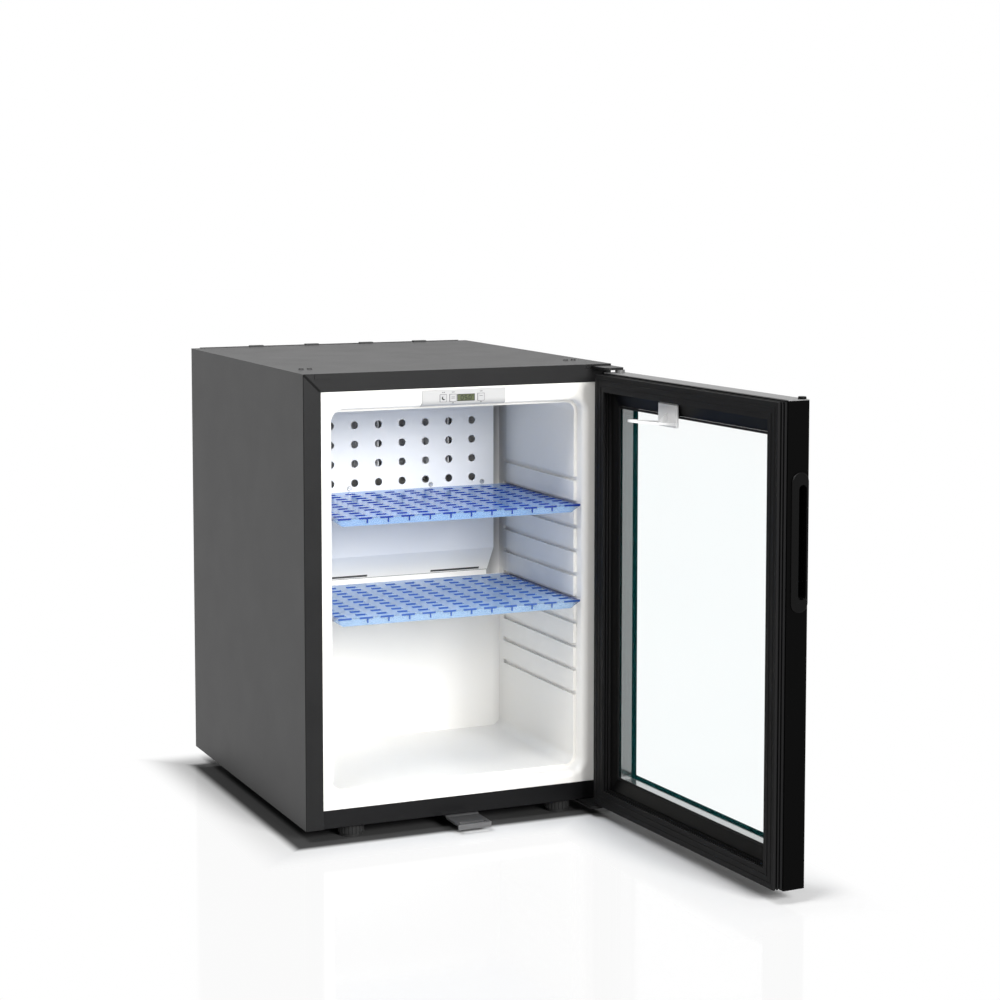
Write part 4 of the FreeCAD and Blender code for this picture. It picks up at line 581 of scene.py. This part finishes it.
cells_front = shelf_front + first_cell
cells_back = cells_front + rows * row_pitch
for name, node, body in (
    ("upper_shelf_board", "upper_shelf", "upper_rack"),
    ("lower_shelf_board", "lower_shelf", "lower_rack"),
):
    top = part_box(node)[1].z - margin / 2
    bpy.ops.mesh.primitive_grid_add(
        x_subdivisions=columns, y_subdivisions=rows, size=1,
        location=(0, (cells_front + cells_back) / 2, top),
    )
    board = bpy.context.object
    board.scale = (columns * slot_pitch, rows * row_pitch, 1)
    bpy.ops.object.transform_apply(location=True, rotation=True, scale=True)
    bpy.ops.object.mode_set(mode="EDIT")
    bpy.ops.mesh.select_mode(type="FACE")
    bpy.ops.mesh.select_all(action="SELECT")
    bpy.ops.mesh.inset(thickness=web_width, use_individual=True)
    bpy.ops.mesh.delete(type="FACE")
    edges_where(lambda spot: spot.y > cells_back - 0.0001)
    bpy.ops.mesh.extrude_region_move(
        TRANSFORM_OT_translate={"value": (0, shelf_back - cells_back, 0)})
    edges_where(lambda spot: spot.y < cells_front + 0.0001)
    bpy.ops.mesh.extrude_region_move(
        TRANSFORM_OT_translate={"value": (0, shelf_front - cells_front, 0)})
    bpy.ops.mesh.extrude_region_move(TRANSFORM_OT_translate={"value": (0, 0, -lip_drop)})
    bpy.ops.transform.resize(value=(lip_narrowing, 1, 1))
    bpy.ops.mesh.select_all(action="SELECT")
    bpy.ops.mesh.normals_make_consistent(inside=False)
    bpy.ops.object.mode_set(mode="OBJECT")
    upward = sum(1 if face.normal.z > 0.5 else -1 if face.normal.z < -0.5 else 0
                 for face in board.data.polygons)
    wall = board.modifiers.new("wall", "SOLIDIFY")
    wall.thickness = shelf_thick
    wall.offset = -1 if upward > 0 else 1
    bpy.ops.object.modifier_apply(modifier=wall.name)
    soft = board.modifiers.new("soft_edges", "BEVEL")
    soft.width = 0.0003
    soft.segments = 1
    bpy.ops.object.modifier_apply(modifier=soft.name)
    joined(name, [board], shelf_blue, body)
    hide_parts(node)

    left_column = -slot_pitch * (columns - 1) / 2
    slot_back = cells_front + row_pitch / 2 + 0.0038
    lip = shelf_front - margin
    behind_slots = stepped(
        block(slot_bar, (left_column, slot_back, top - 0.0012)),
        (0, columns, slot_pitch), (1, rows, row_pitch))
    lip_dashes = stepped(
        block(lip_dash, (left_column, lip, top - 0.0009)), (0, columns, slot_pitch))
    lip_stems = stepped(
        block(lip_stem, (left_column + slot_pitch + 0.002, lip, top - 0.0044)),
        (0, columns - 2, slot_pitch))
    right_corner = block(corner_bar, (shelf_half - 0.0056, lip + 0.0004, top - 0.0010))
    joined(body + "_bars", [behind_slots, lip_dashes, lip_stems, right_corner], bar_blue, body)

# Hinges: black-coated steel brackets with plain pins, screwed to the cabinet, a nylon washer at
# each end of the door, and a plug of the same black in the unused slot.
hinge_coat = Finish(
    "hinge_coat", Base_Color=(0.008, 0.008, 0.008), Roughness=0.35, Specular_IOR_Level=0.15)
hinge_coat.bumped(hinge_coat.noise(1200), 0.0001, 0.4)
dress(hinge_coat, "top_hinge_bracket", "bottom_hinge_bracket", "hinge_slot_plug")
washer_grey = Finish("washer_nylon", Base_Color=(0.10, 0.10, 0.10), Roughness=0.45)
washer_grey.bumped(washer_grey.noise(900), 0.0001, 0.3)
dress(washer_grey, "hinge_washers")
black_screw = Finish("blackened_screw", Metallic=0.6)
black_screw.set("Base Color", black_screw.mixed(
    black_screw.noise(500), (0.03, 0.03, 0.03), (0.06, 0.06, 0.06)))
black_screw.set("Roughness", 0.35 + black_screw.noise(900) * 0.15)
dress(black_screw, "hinge_screws")

# Door: a black moulded frame, a sloping trim round the glass, a cap over the spare pivot hole,
# and a magnetic seal with folds on the inner face.
door_black = Finish(
    "door_black", Base_Color=(0.0014, 0.0014, 0.0014), Roughness=0.3, Specular_IOR_Level=0.02)
door_black.bumped(door_black.noise(1100), 0.00008, 0.4)
dress(door_black, "door_frame")
trim_black = Finish(
    "trim_black", Base_Color=(0.003, 0.003, 0.003), Roughness=0.35, Specular_IOR_Level=0.06)
trim_black.bumped(trim_black.noise(900), 0.00008, 0.4)
dress(trim_black, "door_trim", "door_pivot_cap")
seal = Finish(
    "door_seal", Base_Color=(0.008, 0.008, 0.0082), Roughness=0.5, Specular_IOR_Level=0.06)
seal.bumped(seal.noise(500), 0.0001, 0.4)
dress(seal, "door_gasket")


# Beads of the door: a soft black one that holds the inner pane in the trim, and the two ribs of
# the seal that lie against the liner's flange. Their sizes are those of the shut door.
def hung(piece):
    """Turns a piece that was built with the door shut to where the open door has it."""
    hinge = next(joint for joint in frame["joints"] if joint["name"] == "door_hinge")
    x, y, _ = hinge["pos_m"]
    turn = math.radians(-hinge["range_deg"][0])
    piece.location = (
        x - x * math.cos(turn) + y * math.sin(turn),
        y - x * math.sin(turn) - y * math.cos(turn), 0,
    )
    piece.rotation_euler = (0, 0, turn)
    bpy.ops.object.select_all(action="DESELECT")
    piece.select_set(True)
    bpy.context.view_layer.objects.active = piece
    bpy.ops.object.transform_apply(location=True, rotation=True, scale=True)
    bpy.ops.object.select_all(action="DESELECT")
    return piece


def bead(name, half, low, high, wide, plane, rise, finish):
    """A half-round bead that runs round the window, wide inwards and rise above its plane."""
    bpy.ops.mesh.primitive_plane_add(
        size=1, location=(0, plane, (low + high) / 2), rotation=(-math.pi / 2, 0, 0))
    ring = bpy.context.object
    ring.scale = (2 * half, high - low, 1)
    bpy.ops.object.transform_apply(location=True, rotation=True, scale=True)
    bpy.ops.object.mode_set(mode="EDIT")
    bpy.ops.mesh.select_all(action="SELECT")
    bpy.ops.mesh.inset(thickness=wide)
    bpy.ops.mesh.delete(type="FACE")
    bpy.ops.mesh.select_all(action="SELECT")
    bpy.ops.mesh.extrude_region_move(TRANSFORM_OT_translate={"value": (0, rise, 0)})
    bpy.ops.mesh.select_all(action="SELECT")
    bpy.ops.mesh.normals_make_consistent(inside=False)
    bpy.ops.mesh.bevel(offset=min(wide, rise) * 0.4, segments=3)
    bpy.ops.object.mode_set(mode="OBJECT")
    return joined(name, [hung(ring)], finish, "door")


bead_rubber = Finish(
    "bead_rubber", Base_Color=(0.008, 0.008, 0.0082), Roughness=0.5, Specular_IOR_Level=0.08)
bead_rubber.bumped(bead_rubber.noise(700), 0.0001, 0.4)
glass_half, glass_foot, glass_top = 0.1665, 0.054, 0.514
bead_width, bead_plane, bead_rise = 0.003, -0.2472, 0.0016
bead("glazing_bead", glass_half, glass_foot, glass_top, bead_width, bead_plane, bead_rise,
     bead_rubber)
seal_half, seal_foot, seal_top = 0.199, 0.018, 0.550
rib_width, rib_plane, rib_rise = 0.0014, -0.2311, 0.0007
for name, inset in (("outer_seal_rib", 0.0055), ("inner_seal_rib", 0.0125)):
    bead(name, seal_half - inset, seal_foot + inset, seal_top - inset, rib_width, rib_plane,
         rib_rise, seal)

# Panes: two sheets of clear glass with a faint green cast, and an aluminium spacer with small
# holes between them. Wiping has left very slight clouds on the glass.
pane = Finish("clear_pane", Base_Color=(0.05, 0.85, 0.85), Roughness=0.02, Specular_IOR_Level=0.5)
pane.set("Alpha", 0.012 + pane.noise(6) * 0.005)
dress(pane, "inner_glass", "outer_glass")
spacer_metal = Finish("spacer_aluminium", Metallic=0.85)
specks = spacer_metal.cells(420.0, 0.15) < 0.16
# Painted light and shade: the spacer's foot is coloured lighter and its upright sides darker; its
# small holes are drawn as darker specks.
upright_painted_shade = spacer_metal.mixed(specks, (0.23, 0.23, 0.23), (0.08, 0.08, 0.08))
foot_painted_light = spacer_metal.mixed(specks, (0.50, 0.50, 0.50), (0.25, 0.25, 0.25))
spacer_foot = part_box("glass_spacer")[0].z + 0.0095
spacer_metal.set("Base Color", spacer_metal.mixed(
    spacer_metal.axis("Z") < spacer_foot, upright_painted_shade, foot_painted_light))
spacer_metal.set("Roughness", 0.1 + spacer_metal.noise(500) * 0.08)
dress(spacer_metal, "glass_spacer")

# Handle: a black moulded cup let into the door's free edge. A satin aluminium strip, rolled along
# its length, closes the door's top.
grip_black = Finish(
    "grip_black", Base_Color=(0.002, 0.002, 0.002), Roughness=0.2, Specular_IOR_Level=0.08)
grip_black.bumped(grip_black.noise(1300), 0.0001, 0.4)
dress(grip_black, "handle_grip")
strip_metal = Finish("strip_aluminium", Metallic=0.7)
satin = strip_metal.noise(300, 3.0, (1.0, 0.08, 1.0))
strip_metal.set("Base Color", strip_metal.mixed(satin, (0.18, 0.18, 0.18), (0.28, 0.28, 0.28)))
strip_metal.set("Roughness", 0.35 + satin * 0.15)
dress(strip_metal, "door_top_strip")

# Finger on the inner trim: glossy white plastic, moulded in one. A plate carries a leaf-shaped
# blade, which rises a little towards its tip and has a raised rim, and a web joins the two.
finger_white = Finish(
    "finger_white", Base_Color=(0.78, 0.78, 0.78), Roughness=0.28, Specular_IOR_Level=0.35)
finger_white.bumped(finger_white.noise(60), 0.0003, 0.25)
finger_middle, plate_back, plate_face = 0.045, -0.2442, -0.2402
plate_wide, plate_foot, plate_top, plate_edge = 0.042, 0.500, 0.528, 0.0014
blade_reach, blade_half, blade_thick, blade_foot = 0.0518, 0.0195, 0.003, 0.503
rim_width, rim_height, tip_rise = 0.0016, 0.0011, 0.0052
blade_rise = math.atan2(tip_rise, blade_reach)
finger_plate = block(
    (plate_wide, plate_face - plate_back, plate_top - plate_foot),
    (finger_middle, (plate_face + plate_back) / 2, (plate_foot + plate_top) / 2), plate_edge)
bpy.ops.mesh.primitive_cylinder_add(
    vertices=64, radius=1, depth=1,
    location=(finger_middle, plate_face, blade_foot + blade_thick / 2))
blade = bpy.context.object
blade.scale = (blade_half, blade_reach, blade_thick)
bpy.ops.object.transform_apply(location=True, rotation=True, scale=True)
bpy.ops.object.mode_set(mode="EDIT")
bpy.ops.mesh.select_all(action="SELECT")
bpy.ops.mesh.bisect(
    plane_co=(0, plate_face - 0.002, 0), plane_no=(0, 1, 0), clear_inner=True, use_fill=True)
bpy.ops.object.mode_set(mode="OBJECT")
for face in blade.data.polygons:
    face.select = face.normal.z > 0.9
bpy.ops.object.mode_set(mode="EDIT")
bpy.ops.mesh.select_mode(type="FACE")
bpy.ops.mesh.inset(thickness=rim_width)
bpy.ops.transform.translate(value=(0, 0, -rim_height))
bpy.ops.mesh.select_all(action="SELECT")
bpy.ops.transform.rotate(
    value=-blade_rise, orient_axis="X", center_override=(finger_middle, plate_face, blade_foot))
bpy.ops.object.mode_set(mode="OBJECT")
rim = blade.modifiers.new("rim", "BEVEL")
rim.width = 0.0005
rim.segments = 2
bpy.ops.object.modifier_apply(modifier=rim.name)
web_size, web_reach, web_height, web_top = (0.0026, 0.0130, 0.0120), 0.0063, 0.5108, 0.5166
web = block(web_size, (finger_middle, plate_face + web_reach, web_height))
bpy.ops.object.mode_set(mode="EDIT")
bpy.ops.mesh.select_all(action="SELECT")
bpy.ops.mesh.bisect(
    plane_co=(0, plate_face, web_top), plane_no=(0, 0.68, 0.73), clear_outer=True, use_fill=True)
bpy.ops.object.mode_set(mode="OBJECT")
bpy.ops.object.select_all(action="DESELECT")
for part in (finger_plate, blade, web):
    part.select_set(True)
bpy.context.view_layer.objects.active = finger_plate
bpy.ops.object.join()
finger = joined("door_finger", [hung(finger_plate)], finger_white, "door")
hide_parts("switch_finger")

# Lock: a nickel-plated core in a blackened sleeve in the door's foot, with a plated steel cam on
# its end that turns into the keeper's slot.
dress(nickel, "lock_plug", "lock_cam")
dress(black_screw, "lock_housing")

# Cooling unit: black-painted steel tubes, vessel and coil, welded together, a zinc-plated casing
# round the boiler, bare fins on the condenser, and a black moulded box for the terminals.
tube_black = Finish("tube_black", Roughness=0.45, Specular_IOR_Level=0.4)
tube_black.set("Base Color", tube_black.mixed(
    tube_black.noise(60, 3.0), (0.016, 0.016, 0.017), (0.034, 0.034, 0.035)))
tube_black.bumped(tube_black.noise(500, 3.0), 0.0002, 0.5)
dress(tube_black, "absorber_vessel", "absorber_coil", "liquid_pipes", "evaporator_tubes")
condenser_metal = Finish("condenser_metal", Metallic=0.8)
rolled = condenser_metal.noise(200, 3.0, (1.0, 0.2, 1.0))
condenser_metal.set("Base Color", condenser_metal.mixed(
    rolled, (0.20, 0.20, 0.21), (0.34, 0.34, 0.35)))
condenser_metal.set("Roughness", 0.35 + rolled * 0.2)
dress(condenser_metal, "condenser")
dress(zinc, "boiler_casing", "unit_brackets")
box_black = Finish(
    "box_black", Base_Color=(0.02, 0.02, 0.021), Roughness=0.5, Specular_IOR_Level=0.4)
box_black.bumped(box_black.noise(1500), 0.0001, 0.6)
dress(box_black, "electrical_box", "cord_gland")
